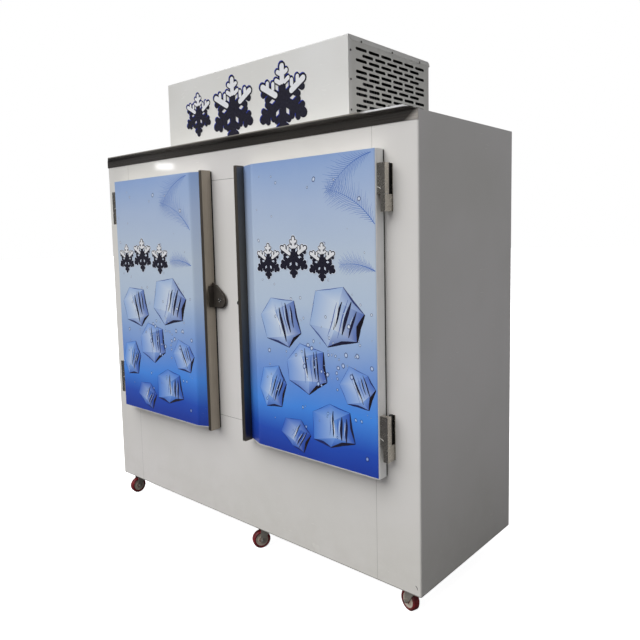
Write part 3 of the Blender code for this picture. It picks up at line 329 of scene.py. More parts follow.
class Effects:
    """The shader groups that more than one finish uses, built once."""

    def __init__(self) -> None:
        """Build every group."""
        self.paint_skin = self._paint_skin()
        self.brushed_grain = self._brushed_grain()
        self.spangle = self._spangle()
        self.scuffs = self._scuffs()
        self.gathered_dust = self._gathered_dust()
        self.edge_rub = self._edge_rub()

    @staticmethod
    def _start(
        name: str, inputs: dict[str, str], outputs: Sequence[str]
    ) -> tuple[bpy.types.NodeTree, Graph, dict[str, Socket], Callable[[str, Feed], None]]:
        """Open a new group.

        Args:
            name: The group's name.
            inputs: Socket type of each named input.
            outputs: Names of its value outputs.

        Returns:
            The tree, its graph, its inputs inside, and a call that sets an output.
        """
        tree = bpy.data.node_groups.new(name, "ShaderNodeTree")
        for label, kind in inputs.items():
            tree.interface.new_socket(label, in_out="INPUT", socket_type=kind)
        for label in outputs:
            tree.interface.new_socket(label, in_out="OUTPUT", socket_type="NodeSocketFloat")
        graph = Graph(tree)
        source = graph.node("NodeGroupInput")
        sink = graph.node("NodeGroupOutput")

        def put(label: str, value: Feed) -> None:
            """Feed one output of the group."""
            graph.feed(sink.inputs[label], value)

        return tree, graph, {label: source.outputs[label] for label in inputs}, put

    def _paint_skin(self) -> bpy.types.NodeTree:
        """Orange peel of sprayed enamel over the slow waves of sheet metal."""
        kinds = {"Position": "NodeSocketVector", "Peel": "NodeSocketFloat", "Waves": "NodeSocketFloat"}
        tree, graph, given, put = self._start("paint skin", kinds, ("Height",))
        peel = graph.noise(given["Position"], 620.0, 1.0)
        waves = graph.noise(given["Position"], 4.5, 1.0)
        fine = graph.math("MULTIPLY", peel, given["Peel"])
        slow = graph.math("MULTIPLY", waves, given["Waves"])
        put("Height", graph.math("ADD", fine, slow))
        return tree

    def _brushed_grain(self) -> bpy.types.NodeTree:
        """Fine lines of brushed metal, broken up by a slower drift."""
        kinds = {"Position": "NodeSocketVector", "Stretch": "NodeSocketVector"}
        tree, graph, given, put = self._start("brushed grain", kinds, ("Grain", "Drift"))
        lines = graph.noise(graph.stretch(given["Position"], given["Stretch"]), 1.0, 4.0, 0.7)
        put("Grain", lines)
        put("Drift", graph.noise(given["Position"], 9.0, 3.0))
        return tree

    def _spangle(self) -> bpy.types.NodeTree:
        """Crystal patches of zinc on sheet metal."""
        kinds = {"Position": "NodeSocketVector", "Patches": "NodeSocketFloat"}
        tree, graph, given, put = self._start("zinc spangle", kinds, ("Tone",))
        cells = graph.node("ShaderNodeTexVoronoi")
        graph.fill(cells, Vector=given["Position"], Scale=given["Patches"])
        tone = graph.dot(cells.outputs["Color"], (0.5, 0.3, 0.2))
        patches = graph.math("MULTIPLY", tone, 0.7)
        specks = graph.math("MULTIPLY", graph.noise(given["Position"], 40.0, 3.0), 0.3)
        put("Tone", graph.math("ADD", patches, specks))
        return tree

    def _scuffs(self) -> bpy.types.NodeTree:
        """Short rubbed strokes and soft smears left by use."""
        kinds = {"Position": "NodeSocketVector", "Amount": "NodeSocketFloat"}
        tree, graph, given, put = self._start("use scuffs", kinds, ("Mask",))
        strokes = graph.noise(graph.stretch(given["Position"], (22.0, 22.0, 160.0)), 1.0, 3.0, 0.6)
        smears = graph.noise(given["Position"], 3.2, 4.0, 0.6)
        lines = graph.spread(strokes, 0.62, 0.74)
        both = graph.math("MULTIPLY", lines, graph.spread(smears, 0.45, 0.65))
        cloud = graph.math("MULTIPLY", graph.spread(smears, 0.40, 0.80), 0.5)
        put("Mask", graph.math("MULTIPLY", graph.math("MAXIMUM", both, cloud), given["Amount"], clamp=True))
        return tree

    def _gathered_dust(self) -> bpy.types.NodeTree:
        """Dust that lies on upward faces and thickens towards the floor."""
        kinds = {
            "Position": "NodeSocketVector",
            "Normal": "NodeSocketVector",
            "Floor Level": "NodeSocketFloat",
            "Clean Level": "NodeSocketFloat",
            "Amount": "NodeSocketFloat",
        }
        tree, graph, given, put = self._start("gathered dust", kinds, ("Mask",))
        height = graph.split(given["Position"])[2]
        upward = graph.split(given["Normal"])[2]
        low = graph.spread(height, given["Floor Level"], given["Clean Level"], 1.0, 0.0)
        lying = graph.math("MULTIPLY", graph.spread(upward, 0.6, 1.0), 0.7)
        cloud = graph.spread(graph.noise(given["Position"], 14.0, 5.0, 0.65), 0.35, 0.70)
        worst = graph.math("MAXIMUM", graph.math("POWER", low, 2.0), lying)
        patchy = graph.math("MULTIPLY", worst, cloud)
        put("Mask", graph.math("MULTIPLY", patchy, given["Amount"], clamp=True))
        return tree

    def _edge_rub(self) -> bpy.types.NodeTree:
        """Edges where a finish is rubbed bright."""
        kinds = {"Position": "NodeSocketVector", "Width": "NodeSocketFloat", "Amount": "NodeSocketFloat"}
        tree, graph, given, put = self._start("edge rub", kinds, ("Mask",))
        round_off = graph.node("ShaderNodeBevel", samples=4)
        graph.feed(round_off.inputs["Radius"], given["Width"])
        flat = graph.node("ShaderNodeNewGeometry")
        same = graph.dot(round_off.outputs["Normal"], flat.outputs["Normal"])
        edge = graph.spread(same, 0.98, 0.80)
        broken = graph.spread(graph.noise(given["Position"], 120.0, 3.0), 0.35, 0.60)
        worn = graph.math("MULTIPLY", edge, broken)
        put("Mask", graph.math("MULTIPLY", worn, given["Amount"], clamp=True))
        return tree


EFFECTS = Effects()


@dataclass(frozen=True)
class Finish:
    """Base of every finish: a name, a colour and a gloss."""

    name: str
    colour: Tint
    roughness: float

    def start(self) -> tuple[bpy.types.Material, Graph, bpy.types.Node, Socket, Socket]:
        """Open a new material.

        Returns:
            The material, its graph, its shader, and the position and normal on the object.
        """
        material = bpy.data.materials.new(self.name)
        material.use_nodes = True
        material.diffuse_color = self.colour.linear()
        graph = Graph(material.node_tree)
        shader = material.node_tree.nodes["Principled BSDF"]
        graph.fill(shader, Base_Color=self.colour.linear(), Roughness=self.roughness)
        place = graph.node("ShaderNodeTexCoord")
        return material, graph, shader, place.outputs["Object"], place.outputs["Normal"]

    def dulled(self, graph: Graph, wear: Feed, low: float, high: float, dulling: float) -> Socket:
        """The roughness, raised where the finish is worn.

        Args:
            graph: The material's graph.
            wear: A value over the surface.
            low: Where it starts to dull the finish.
            high: Where it has dulled it fully.
            dulling: The roughness that it adds there.

        Returns:
            The roughness.
        """
        return graph.spread(wear, low, high, self.roughness, self.roughness + dulling)

    @staticmethod
    def dusted(graph: Graph, place: Feed, normal: Feed, levels: Point, amount: float) -> Socket:
        """The mask of gathered dust.

        Args:
            graph: The material's graph.
            place: The position on the object.
            normal: The normal on the object.
            levels: Where dust is thickest and where it ends, in z.
            amount: How much dust there is.

        Returns:
            The mask.
        """
        thick, clean = levels
        return graph.group(
            EFFECTS.gathered_dust,
            "Mask",
            Position=place,
            Normal=normal,
            Floor_Level=thick,
            Clean_Level=clean,
            Amount=amount,
        )

    def build(self) -> bpy.types.Material:
        """Make the material. Each finish has its own way."""
        raise NotImplementedError


@dataclass(frozen=True)
class Enamel(Finish):
    """Sprayed white enamel on sheet steel."""

    shade: Tint = Tint(222, 220, 214)
    coat: float = 0.45
    peel: float = 0.05
    waves: float = 1.0
    dust: float = 0.5
    dark_from: float = 0.0
    dark_inside: bool = False
    foot: float = 0.105
    # How much darker the panels are made towards the bottom.
    foot_darkening: float = 0.0
    dust_levels: Point = (0.10, 0.55)
    dust_tint: Tint = Tint(176, 168, 154)
    foot_darkening_tint: Tint = Tint(184, 178, 170)
    foot_shade_tint: Tint = Tint(92, 88, 82)
    bare_tint: Tint = Tint(38, 38, 37)
    foot_darkening_reach: float = 1.0
    # Painted shade: strength of the thin dark line along the foot of the panels, where the gap beneath lies
    # in shadow.
    foot_shade: float = 0.8
    foot_shade_reach: Point = (0.0015, 0.0040)
    scuffs: float = 0.6
    coat_roughness: float = 0.06
    sheet: float = 0.0007

    def build(self) -> bpy.types.Material:
        """Make the enamel.

        Returns:
            The material.
        """
        material, graph, shader, place, normal = self.start()
        drift = graph.spread(graph.noise(place, 1.7, 3.0), 0.35, 0.70)
        colour = graph.mix(drift, self.colour.linear(), self.shade.linear())
        dust = self.dusted(graph, place, normal, self.dust_levels, self.dust)
        colour = graph.mix(dust, colour, self.dust_tint.linear())
        height = graph.split(place)[2]
        # The panels are made darker towards the bottom, fading out over the reach above the foot.
        foot_darkening = graph.spread(height, self.foot, self.foot + self.foot_darkening_reach, self.foot_darkening, 0.0)
        colour = graph.mix(foot_darkening, colour, self.foot_darkening_tint.linear())
        # Painted shade: a thin dark line just above the panels' foot.
        start, end = self.foot_shade_reach
        foot_shade = graph.spread(height, self.foot + start, self.foot + end, self.foot_shade, 0.0)
        colour = graph.mix(foot_shade, colour, self.foot_shade_tint.linear())
        rubbed = graph.group(EFFECTS.scuffs, "Mask", Position=place, Amount=self.scuffs)
        gloss = self.dulled(graph, rubbed, 0.0, 1.0, 0.16)
        if self.dark_inside or self.dark_from:
            inside = self._inside(graph, place) if self.dark_inside else self._between(graph, place)
            colour = graph.mix(inside, colour, self.bare_tint.linear())
            gloss = graph.math("MAXIMUM", gloss, graph.math("MULTIPLY", inside, 0.8))
        skin = graph.group(EFFECTS.paint_skin, "Height", Position=place, Peel=self.peel, Waves=self.waves)
        graph.fill(
            shader,
            Base_Color=colour,
            Roughness=gloss,
            Normal=graph.bump(skin, 0.0004),
            Coat_Weight=self.coat,
            Coat_Roughness=self.coat_roughness,
        )
        return material

    def _between(self, graph: Graph, place: Socket) -> Socket:
        """Mask of what lies nearer the middle than the vent panels' outer faces."""
        across = graph.math("ABSOLUTE", graph.split(place)[0])
        return graph.math("LESS_THAN", across, self.dark_from)

    def _inside(self, graph: Graph, place: Socket) -> Socket:
        """Mask of the hood's unpainted inner faces.

        Args:
            graph: The material's graph.
            place: The position on the object.

        Returns:
            1 inside the hood's shell, 0 outside it.
        """
        low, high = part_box("hood_cover")
        x, y, z = graph.split(place)
        across = graph.math("LESS_THAN", graph.math("ABSOLUTE", x), high[0] - 2 * self.sheet)
        behind = graph.math("GREATER_THAN", y, low[1] + self.sheet)
        ahead = graph.math("LESS_THAN", y, high[1] - self.sheet)
        under = graph.math("LESS_THAN", z, high[2] - self.sheet)
        sides = graph.math("MULTIPLY", across, behind)
        return graph.math("MULTIPLY", sides, graph.math("MULTIPLY", ahead, under))


@dataclass(frozen=True)
class FilmGradient:
    """The blue fade of the door film, from the bottom of a door to its top."""

    stops: tuple[tuple[float, Tint], ...] = (
        (0.00, Tint(10, 54, 166)),
        (0.07, Tint(26, 80, 194)),
        (0.17, Tint(70, 148, 246)),
        (0.28, Tint(116, 160, 234)),
        (0.40, Tint(164, 193, 236)),
        (0.52, Tint(199, 217, 238)),
        (0.66, Tint(206, 221, 237)),
        (0.86, Tint(186, 206, 237)),
        (0.95, Tint(168, 194, 235)),
        (1.00, Tint(152, 182, 232)),
    )

    def at(self, share: float) -> Tint:
        """The film's colour at a share of the door's height.

        Args:
            share: 0 at the bottom, 1 at the top.

        Returns:
            The colour.
        """
        for (low, first), (high, second) in zip(self.stops, self.stops[1:]):
            if share <= high:
                return first.towards(second, max(0.0, (share - low) / (high - low)))
        return self.stops[-1][1]


GRADIENT = FilmGradient()


@dataclass(frozen=True)
class DoorFilm(Finish):
    """White enamel door whose front and hollowed grip wear a printed film."""

    low: float = 0.5
    high: float = 1.6
    crease: float = 0.196
    far_edge: float = 0.781
    hem: float = 0.003
    mist_tint: Tint = Tint(214, 228, 246)
    dot_tint: Tint = Tint(70, 96, 168)
    # Colour of the painted shade on the grip's dished slope.
    hollow_shade_tint: Tint = Tint(70, 100, 175)
    drift_tint: Tint = Tint(224, 222, 216)
    # Whiter colour of the door's side faces, painted light.
    side_light_tint: Tint = Tint(254, 254, 253)
    coat: float = 0.5

    def build(self) -> bpy.types.Material:
        """Make the door's finish.

        Returns:
            The material.
        """
        material, graph, shader, place, normal = self.start()
        facing = graph.split(normal)[1]
        x, _, z = graph.split(place)
        across = graph.math("ABSOLUTE", x)
        front = graph.math("LESS_THAN", facing, -0.3)
        front = graph.math("MULTIPLY", front, graph.math("LESS_THAN", across, self.far_edge))
        front = graph.math("MULTIPLY", front, graph.math("GREATER_THAN", z, self.low + self.hem))
        share = graph.spread(z, self.low, self.high)
        sway = graph.math("MULTIPLY", graph.math("SUBTRACT", graph.noise(place, 1.6, 2.0), 0.5), 0.10)
        stops = [(stop, tint.linear()) for stop, tint in GRADIENT.stops]
        film = graph.ramp(graph.math("ADD", share, sway, clamp=True), stops)
        cloud = graph.spread(graph.noise(place, 3.1, 4.0, 0.6), 0.40, 0.75, 0.0, 0.16)
        cloud = graph.math("MULTIPLY", cloud, graph.spread(share, 0.10, 0.45))
        film = graph.mix(cloud, film, self.mist_tint.linear())
        dots = graph.spread(graph.noise(place, 900.0, 1.0), 0.3, 0.7, 0.0, 0.08)
        film = graph.mix(dots, film, self.dot_tint.linear())
        # Painted shade: the film on the grip's dished slope, inside the crease, is tinted darker.
        band = graph.spread(across, self.crease - 0.012, self.crease - 0.004, 0.10, 0.0)
        film = graph.mix(band, film, self.hollow_shade_tint.linear())
        enamel = graph.mix(graph.noise(place, 2.0, 2.0), self.colour.linear(), self.drift_tint.linear())
        # Painted light: the door's side faces are made whiter, as if lit by light thrown back from the
        # white front beside them.
        sideways = graph.spread(graph.math("ABSOLUTE", graph.split(normal)[0]), 0.5, 0.9)
        enamel = graph.mix(sideways, enamel, self.side_light_tint.linear())
        rubbed = graph.group(EFFECTS.scuffs, "Mask", Position=place, Amount=0.7)
        skin = graph.group(EFFECTS.paint_skin, "Height", Position=place, Peel=0.03, Waves=0.8)
        graph.fill(
            shader,
            Base_Color=graph.mix(front, enamel, film),
            Roughness=self.dulled(graph, rubbed, 0.0, 1.0, 0.18),
            Normal=graph.bump(skin, 0.0004),
            Coat_Weight=self.coat,
            Coat_Roughness=0.08,
        )
        return material


@dataclass(frozen=True)
class PrintInk(Finish):
    """Printed ink that takes its colour from the mesh."""

    layer: str = "ink"

    def build(self) -> bpy.types.Material:
        """Make the ink.

        Returns:
            The material.
        """
        material, graph, shader, place, _ = self.start()
        ink = graph.node("ShaderNodeVertexColor", layer_name=self.layer)
        speck = graph.spread(graph.noise(place, 700.0, 1.0), 0.3, 0.7, 0.0, 0.02)
        rubbed = graph.group(EFFECTS.scuffs, "Mask", Position=place, Amount=0.7)
        graph.fill(
            shader,
            Base_Color=graph.mix(speck, ink.outputs["Color"], WHITE.linear()),
            Roughness=self.dulled(graph, rubbed, 0.0, 1.0, 0.18),
            Specular_IOR_Level=0.3,
            Coat_Weight=0.12,
            Coat_Roughness=0.08,
        )
        return material


@dataclass(frozen=True)
class BrushedSteel(Finish):
    """Stainless steel brushed one way, with painted shade on its front and on its grip's outward side where
    one is asked for.
    """

    run: Along = Along.HEIGHT
    rub: float = 0.5
    contrast: float = 0.22
    # Strengths of the painted shade on forward-looking faces and on the grip's outward side.
    front_painted_shade: float = 0.0
    grip_painted_shade: float = 0.0
    metal: float = 1.0
    dark_tint: Tint = Tint(20, 18, 16)
    front_painted_shade_tint: Tint = Tint(46, 38, 30)
    grip_painted_shade_tint: Tint = Tint(40, 42, 46)
    bright_tint: Tint = Tint(205, 200, 190)
    rub_width: float = 0.0012

    def build(self) -> bpy.types.Material:
        """Make the steel.

        Returns:
            The material.
        """
        material, graph, shader, place, normal = self.start()
        grain = graph.group(EFFECTS.brushed_grain, "Grain", Position=place, Stretch=self.run.value)
        drift = graph.group(EFFECTS.brushed_grain, "Drift", Position=place, Stretch=self.run.value)
        tone = graph.spread(grain, 0.30, 0.70)
        base = self.colour.linear()
        dark = self.colour.towards(self.dark_tint, self.contrast).linear()
        colour = graph.mix(tone, dark, base)
        colour = graph.mix(graph.spread(drift, 0.45, 0.75, 0.0, 0.35), colour, dark)
        sideways, facing, _ = graph.split(normal)
        # Painted shade: faces that look forward are darkened.
        ahead = graph.spread(facing, -0.4, -0.9, 0.0, self.front_painted_shade)
        colour = graph.mix(ahead, colour, self.front_painted_shade_tint.linear())
        # Painted shade: on each grip, the side that faces away from the middle is darkened.
        outward = graph.math("MULTIPLY", graph.math("SIGN", graph.split(place)[0]), sideways)
        grip = graph.spread(outward, 0.3, 0.8, 0.0, self.grip_painted_shade)
        colour = graph.mix(grip, colour, self.grip_painted_shade_tint.linear())
        edges = {"Position": place, "Width": self.rub_width, "Amount": self.rub}
        bright = graph.group(EFFECTS.edge_rub, "Mask", **edges)
        colour = graph.mix(bright, colour, self.bright_tint.linear())
        graph.fill(
            shader,
            Base_Color=colour,
            Roughness=self.dulled(graph, grain, 0.25, 0.75, 0.14),
            Normal=graph.bump(grain, 0.00004, 0.6),
            Metallic=self.metal,
        )
        return material


@dataclass(frozen=True)
class RailSteel(Finish):
    """Dark polished rail, with painted highlights along its folded hem and top edge and a painted lit patch
    at its right end.
    """

    hem_highlight_level: float = 1.729
    edge_highlight_level: float = 1.7275
    edge_highlight_from: float = 0.70
    # Corners and edge of the painted lit patch on the flange at the rail's right end.
    gleam_foot: Point = (0.878, 1.687)
    gleam_top: Point = (0.918, 1.719)
    drift_tint: Tint = Tint(54, 50, 46)
    hem_highlight_tint: Tint = Tint(176, 171, 162)
    gleam_tint: Tint = Tint(196, 190, 182)
    gleam_edge: Point = (-0.018, 0.012)
    metal: float = 0.35

    def build(self) -> bpy.types.Material:
        """Make the rail's finish.

        Returns:
            The material.
        """
        material, graph, shader, place, _ = self.start()
        grain = graph.group(EFFECTS.brushed_grain, "Grain", Position=place, Stretch=Along.WIDTH.value)
        colour = graph.mix(graph.spread(grain, 0.3, 0.7), self.colour.linear(), self.drift_tint.linear())
        across, _, height = graph.split(place)
        # Painted highlight along the folded hem at the rail's top edge.
        hem = graph.spread(height, self.hem_highlight_level, self.hem_highlight_level + 0.0015, 0.0, 0.7)
        colour = graph.mix(hem, colour, self.hem_highlight_tint.linear())
        # Painted highlight: a white line along the top edge of the rail's right part.
        edge_highlight = graph.spread(height, self.edge_highlight_level, self.edge_highlight_level + 0.0005)
        edge_highlight = graph.math("MULTIPLY", edge_highlight, graph.spread(across, self.edge_highlight_from, self.edge_highlight_from + 0.03))
        colour = graph.mix(edge_highlight, colour, WHITE.linear())
        # Painted light: a paler patch on the flange at the rail's right end, where light reaches under the
        # cut-back flare.
        (foot, low), (top, high) = self.gleam_foot, self.gleam_top
        reach = graph.spread(height, low, high, foot, top)
        gleam = graph.spread(graph.math("SUBTRACT", across, reach), *self.gleam_edge, 0.0, 0.85)
        gleam = graph.math("MULTIPLY", gleam, graph.spread(height, high - 0.002, high + 0.002, 1.0, 0.0))
        colour = graph.mix(gleam, colour, self.gleam_tint.linear())
        graph.fill(
            shader,
            Base_Color=colour,
            Roughness=self.dulled(graph, grain, 0.25, 0.75, 0.10),
            Normal=graph.bump(grain, 0.00003, 0.5),
            Metallic=self.metal,
        )
        return material


@dataclass(frozen=True)
class ZincPlate(Finish):
    """Bright or dull zinc on cast and pressed fittings, with painted shade on their fronts where one is
    asked for.
    """

    pits: float = 0.5
    rub: float = 0.6
    dust: float = 0.0
    # Strength of the painted shade on forward-looking faces.
    front_painted_shade: float = 0.0
    metal: float = 1.0
    dust_levels: Point = (0.0, 0.20)
    dull_tint: Tint = Tint(60, 58, 54)
    front_painted_shade_tint: Tint = Tint(52, 52, 52)
    bright_tint: Tint = Tint(235, 232, 224)
    dust_tint: Tint = Tint(96, 86, 74)
    patches: float = 260.0
    rub_width: float = 0.0015

    def build(self) -> bpy.types.Material:
        """Make the plating.

        Returns:
            The material.
        """
        material, graph, shader, place, normal = self.start()
        tone = graph.group(EFFECTS.spangle, "Tone", Position=place, Patches=self.patches)
        dull = self.colour.towards(self.dull_tint, 0.18).linear()
        colour = graph.mix(graph.spread(tone, 0.25, 0.75), dull, self.colour.linear())
        # Painted shade: faces that look forward are darkened.
        ahead = graph.spread(graph.split(normal)[1], -0.4, -0.9, 0.0, self.front_painted_shade)
        colour = graph.mix(ahead, colour, self.front_painted_shade_tint.linear())
        edges = {"Position": place, "Width": self.rub_width, "Amount": self.rub}
        bright = graph.group(EFFECTS.edge_rub, "Mask", **edges)
        colour = graph.mix(bright, colour, self.bright_tint.linear())
        dust = self.dusted(graph, place, normal, self.dust_levels, self.dust)
        colour = graph.mix(dust, colour, self.dust_tint.linear())
        worn = self.dulled(graph, tone, 0.2, 0.8, 0.12)
        dusty = graph.math("MULTIPLY", dust, 0.8)
        pitting = graph.noise(place, 900.0, 2.0)
        graph.fill(
            shader,
            Base_Color=colour,
            Metallic=graph.spread(dust, 0.0, 1.0, self.metal, 0.2),
            Roughness=graph.math("MAXIMUM", worn, dusty),
            Normal=graph.bump(pitting, 0.00005, self.pits),
        )
        return material


@dataclass(frozen=True)
class SheetMetal(Finish):
    """Bare galvanised sheet, with visible zinc patches."""

    patches: float = 55.0
    dust: float = 0.4
    metal: float = 0.85
    dust_levels: Point = (0.08, 0.40)
    dull_tint: Tint = Tint(70, 70, 68)
    dust_tint: Tint = Tint(120, 112, 98)

    def build(self) -> bpy.types.Material:
        """Make the sheet.

        Returns:
            The material.
        """
        material, graph, shader, place, normal = self.start()
        tone = graph.group(EFFECTS.spangle, "Tone", Position=place, Patches=self.patches)
        dull = self.colour.towards(self.dull_tint, 0.35).linear()
        colour = graph.mix(graph.spread(tone, 0.2, 0.8), dull, self.colour.linear())
        dust = self.dusted(graph, place, normal, self.dust_levels, self.dust)
        colour = graph.mix(dust, colour, self.dust_tint.linear())
        graph.fill(
            shader,
            Base_Color=colour,
            Metallic=graph.spread(dust, 0.0, 1.0, self.metal, 0.1),
            Roughness=self.dulled(graph, tone, 0.0, 1.0, 0.22),
            Normal=graph.bump(graph.noise(place, 30.0, 2.0), 0.0004, 0.4),
        )
        return material


@dataclass(frozen=True)
class MouldedPlastic(Finish):
    """Moulded plastic with a fine spark-eroded grain."""

    grain: float = 900.0
    depth: float = 0.00008
    shade: Tint = Tint(205, 205, 200)

    def build(self) -> bpy.types.Material:
        """Make the plastic.

        Returns:
            The material.
        """
        material, graph, shader, place, _ = self.start()
        drift = graph.spread(graph.noise(place, 2.4, 4.0), 0.35, 0.75, 0.0, 0.8)
        colour = graph.mix(drift, self.colour.linear(), self.shade.linear())
        rubbed = graph.group(EFFECTS.scuffs, "Mask", Position=place, Amount=0.8)
        sparks = graph.noise(place, self.grain, 2.0)
        graph.fill(
            shader,
            Base_Color=graph.mix(rubbed, colour, self.shade.linear()),
            Roughness=self.dulled(graph, rubbed, 0.0, 1.0, 0.2),
            Normal=graph.bump(sparks, self.depth, 0.7),
        )
        return material


@dataclass(frozen=True)
class Gasket(Finish):
    """Soft black magnet gasket with fine ribs along its run."""

    ribs: float = 340.0
    dark_tint: Tint = Tint(20, 20, 21)

    def build(self) -> bpy.types.Material:
        """Make the gasket.

        Returns:
            The material.
        """
        material, graph, shader, place, _ = self.start()
        rib = graph.node("ShaderNodeTexWave", wave_type="BANDS", bands_direction="Y")
        graph.fill(rib, Vector=place, Scale=self.ribs, Distortion=0.6)
        drift = graph.noise(place, 60.0, 3.0)
        colour = graph.mix(graph.spread(drift, 0.3, 0.7), self.colour.linear(), self.dark_tint.linear())
        graph.fill(
            shader,
            Base_Color=colour,
            Roughness=self.dulled(graph, drift, 0.2, 0.8, 0.15),
            Normal=graph.bump(rib.outputs["Fac"], 0.0004, 0.6),
        )
        return material


@dataclass(frozen=True)
class FinnedCoil(Finish):
    """Aluminium fins of the condenser, standing close together, with painted shade between them."""

    fin_gap: float = 0.0021
    gap_shade_tint: Tint = Tint(52, 54, 56)
    bands: float = 3.1
    metal: float = 0.9

    def build(self) -> bpy.types.Material:
        """Make the coil.

        Returns:
            The material.
        """
        material, graph, shader, place, _ = self.start()
        fins = graph.node("ShaderNodeTexWave", wave_type="BANDS", bands_direction="Y")
        graph.fill(fins, Vector=place, Scale=1 / self.fin_gap / self.bands)
        bent = graph.noise(place, 35.0, 4.0)
        tone = graph.math("MULTIPLY", fins.outputs["Fac"], graph.spread(bent, 0.3, 0.7, 0.6, 1.0))
        # Painted shade: the dark bands between the fins stand for the shadow in the gaps.
        colour = graph.mix(tone, self.gap_shade_tint.linear(), self.colour.linear())
        graph.fill(
            shader,
            Base_Color=colour,
            Roughness=self.dulled(graph, bent, 0.2, 0.8, 0.2),
            Normal=graph.bump(fins.outputs["Fac"], 0.0008, 0.8),
            Metallic=self.metal,
        )
        return material


@dataclass(frozen=True)
class WheelRubber(Finish):
    """Deep red tyre with a dusty rolling face."""

    dust: float = 0.8
    dust_levels: Point = (0.0, 0.05)
    dark_tint: Tint = Tint(70, 14, 18)
    dust_tint: Tint = Tint(110, 92, 80)

    def build(self) -> bpy.types.Material:
        """Make the tyre.

        Returns:
            The material.
        """
        material, graph, shader, place, normal = self.start()
        drift = graph.noise(place, 45.0, 4.0)
        colour = graph.mix(graph.spread(drift, 0.3, 0.7), self.colour.linear(), self.dark_tint.linear())
        dust = self.dusted(graph, place, normal, self.dust_levels, self.dust)
        colour = graph.mix(dust, colour, self.dust_tint.linear())
        graph.fill(
            shader,
            Base_Color=colour,
            Roughness=self.dulled(graph, drift, 0.2, 0.8, 0.2),
            Normal=graph.bump(graph.noise(place, 400.0, 2.0), 0.0002, 0.5),
        )
        return material


@dataclass(frozen=True)
class StudioFloor(Finish):
    """Plain pale floor that throws little light back on the object."""

    bounce: Tint = Tint(120, 120, 122)
    glow: float = 0.92
    cloud_tint: Tint = Tint(250, 250, 250)

    def build(self) -> bpy.types.Material:
        """Make the floor.

        Returns:
            The material.
        """
        material, graph, shader, place, _ = self.start()
        cloud = graph.noise(place, 0.8, 3.0)
        colour = graph.mix(graph.spread(cloud, 0.3, 0.7), self.colour.linear(), self.cloud_tint.linear())
        seen = graph.node("ShaderNodeLightPath").outputs["Is Camera Ray"]
        colour = graph.mix(seen, self.bounce.linear(), colour)
        graph.fill(
            shader,
            Base_Color=colour,
            Roughness=self.dulled(graph, cloud, 0.3, 0.7, 0.1),
            Emission_Color=graph.mix(seen, BLACK.linear(), WHITE.linear()),
            Emission_Strength=self.glow,
            Specular_IOR_Level=0.0,
        )
        return material


def stand(name: str, data: bpy.types.ID) -> bpy.types.Object:
    """Make an object of a mesh, lamp or camera and put it in the scene."""
    item = bpy.data.objects.new(name, data)
    bpy.context.scene.collection.objects.link(item)
    return item


def bearing(angle: float) -> Vector:
    """The flat unit vector at an angle."""
    return Vector((math.cos(angle), math.sin(angle)))


def leant(centre: Point, x: float, z: float, lean: float) -> Point:
    """A point beside a centre, turned about it by a lean in radians."""
    cos, sin = math.cos(lean), math.sin(lean)
    return (centre[0] + x * cos - z * sin, centre[1] + x * sin + z * cos)


class Shop:
    """The finishes and mesh work that every sub-assembly uses."""

    SHARP_FROM = math.radians(35.0)

    def __init__(self) -> None:
        """Start with no finishes made."""
        self.made: dict[str, bpy.types.Material] = {}

    def finish(self, kind: Finish) -> bpy.types.Material:
        """Make a finish once and hand it out after that.

        Args:
            kind: The finish wanted.

        Returns:
            Its material.
        """
        if kind.name not in self.made:
            self.made[kind.name] = kind.build()
        return self.made[kind.name]

    def dress(self, kind: Finish, *nodes: str) -> None:
        """Give CAD nodes a finish.

        Args:
            kind: The finish.
            nodes: The nodes that take it.
        """
        material = self.finish(kind)
        for name in nodes:
            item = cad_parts[name]
            item.data.materials.clear()
            item.data.materials.append(material)
            LOG.info("%s wears %s", name, kind.name)

    def place(
        self, name: str, mesh: Mesh, kind: Finish, body: str, slot: str, flat: bool = False
    ) -> bpy.types.Object:
        """Turn a mesh into a piece that rides on a body.

        Args:
            name: The piece's name.
            mesh: Its mesh, in the frame's metres.
            kind: Its finish.
            body: The body it moves with.
            slot: Not used.
            flat: Whether it is a flat print, which is left as it is.

        Returns:
            The new object.
        """
        data = bpy.data.meshes.new(name)
        if not flat:
            bmesh.ops.recalc_face_normals(mesh, faces=mesh.faces[:])
        mesh.to_mesh(data)
        mesh.free()
        if not flat:
            data.shade_smooth()
            data.set_sharp_from_angle(angle=self.SHARP_FROM)
        data.materials.append(self.finish(kind))
        item = stand(name, data)
        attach(item, body)
        LOG.info("%s rides on %s", name, body)
        return item


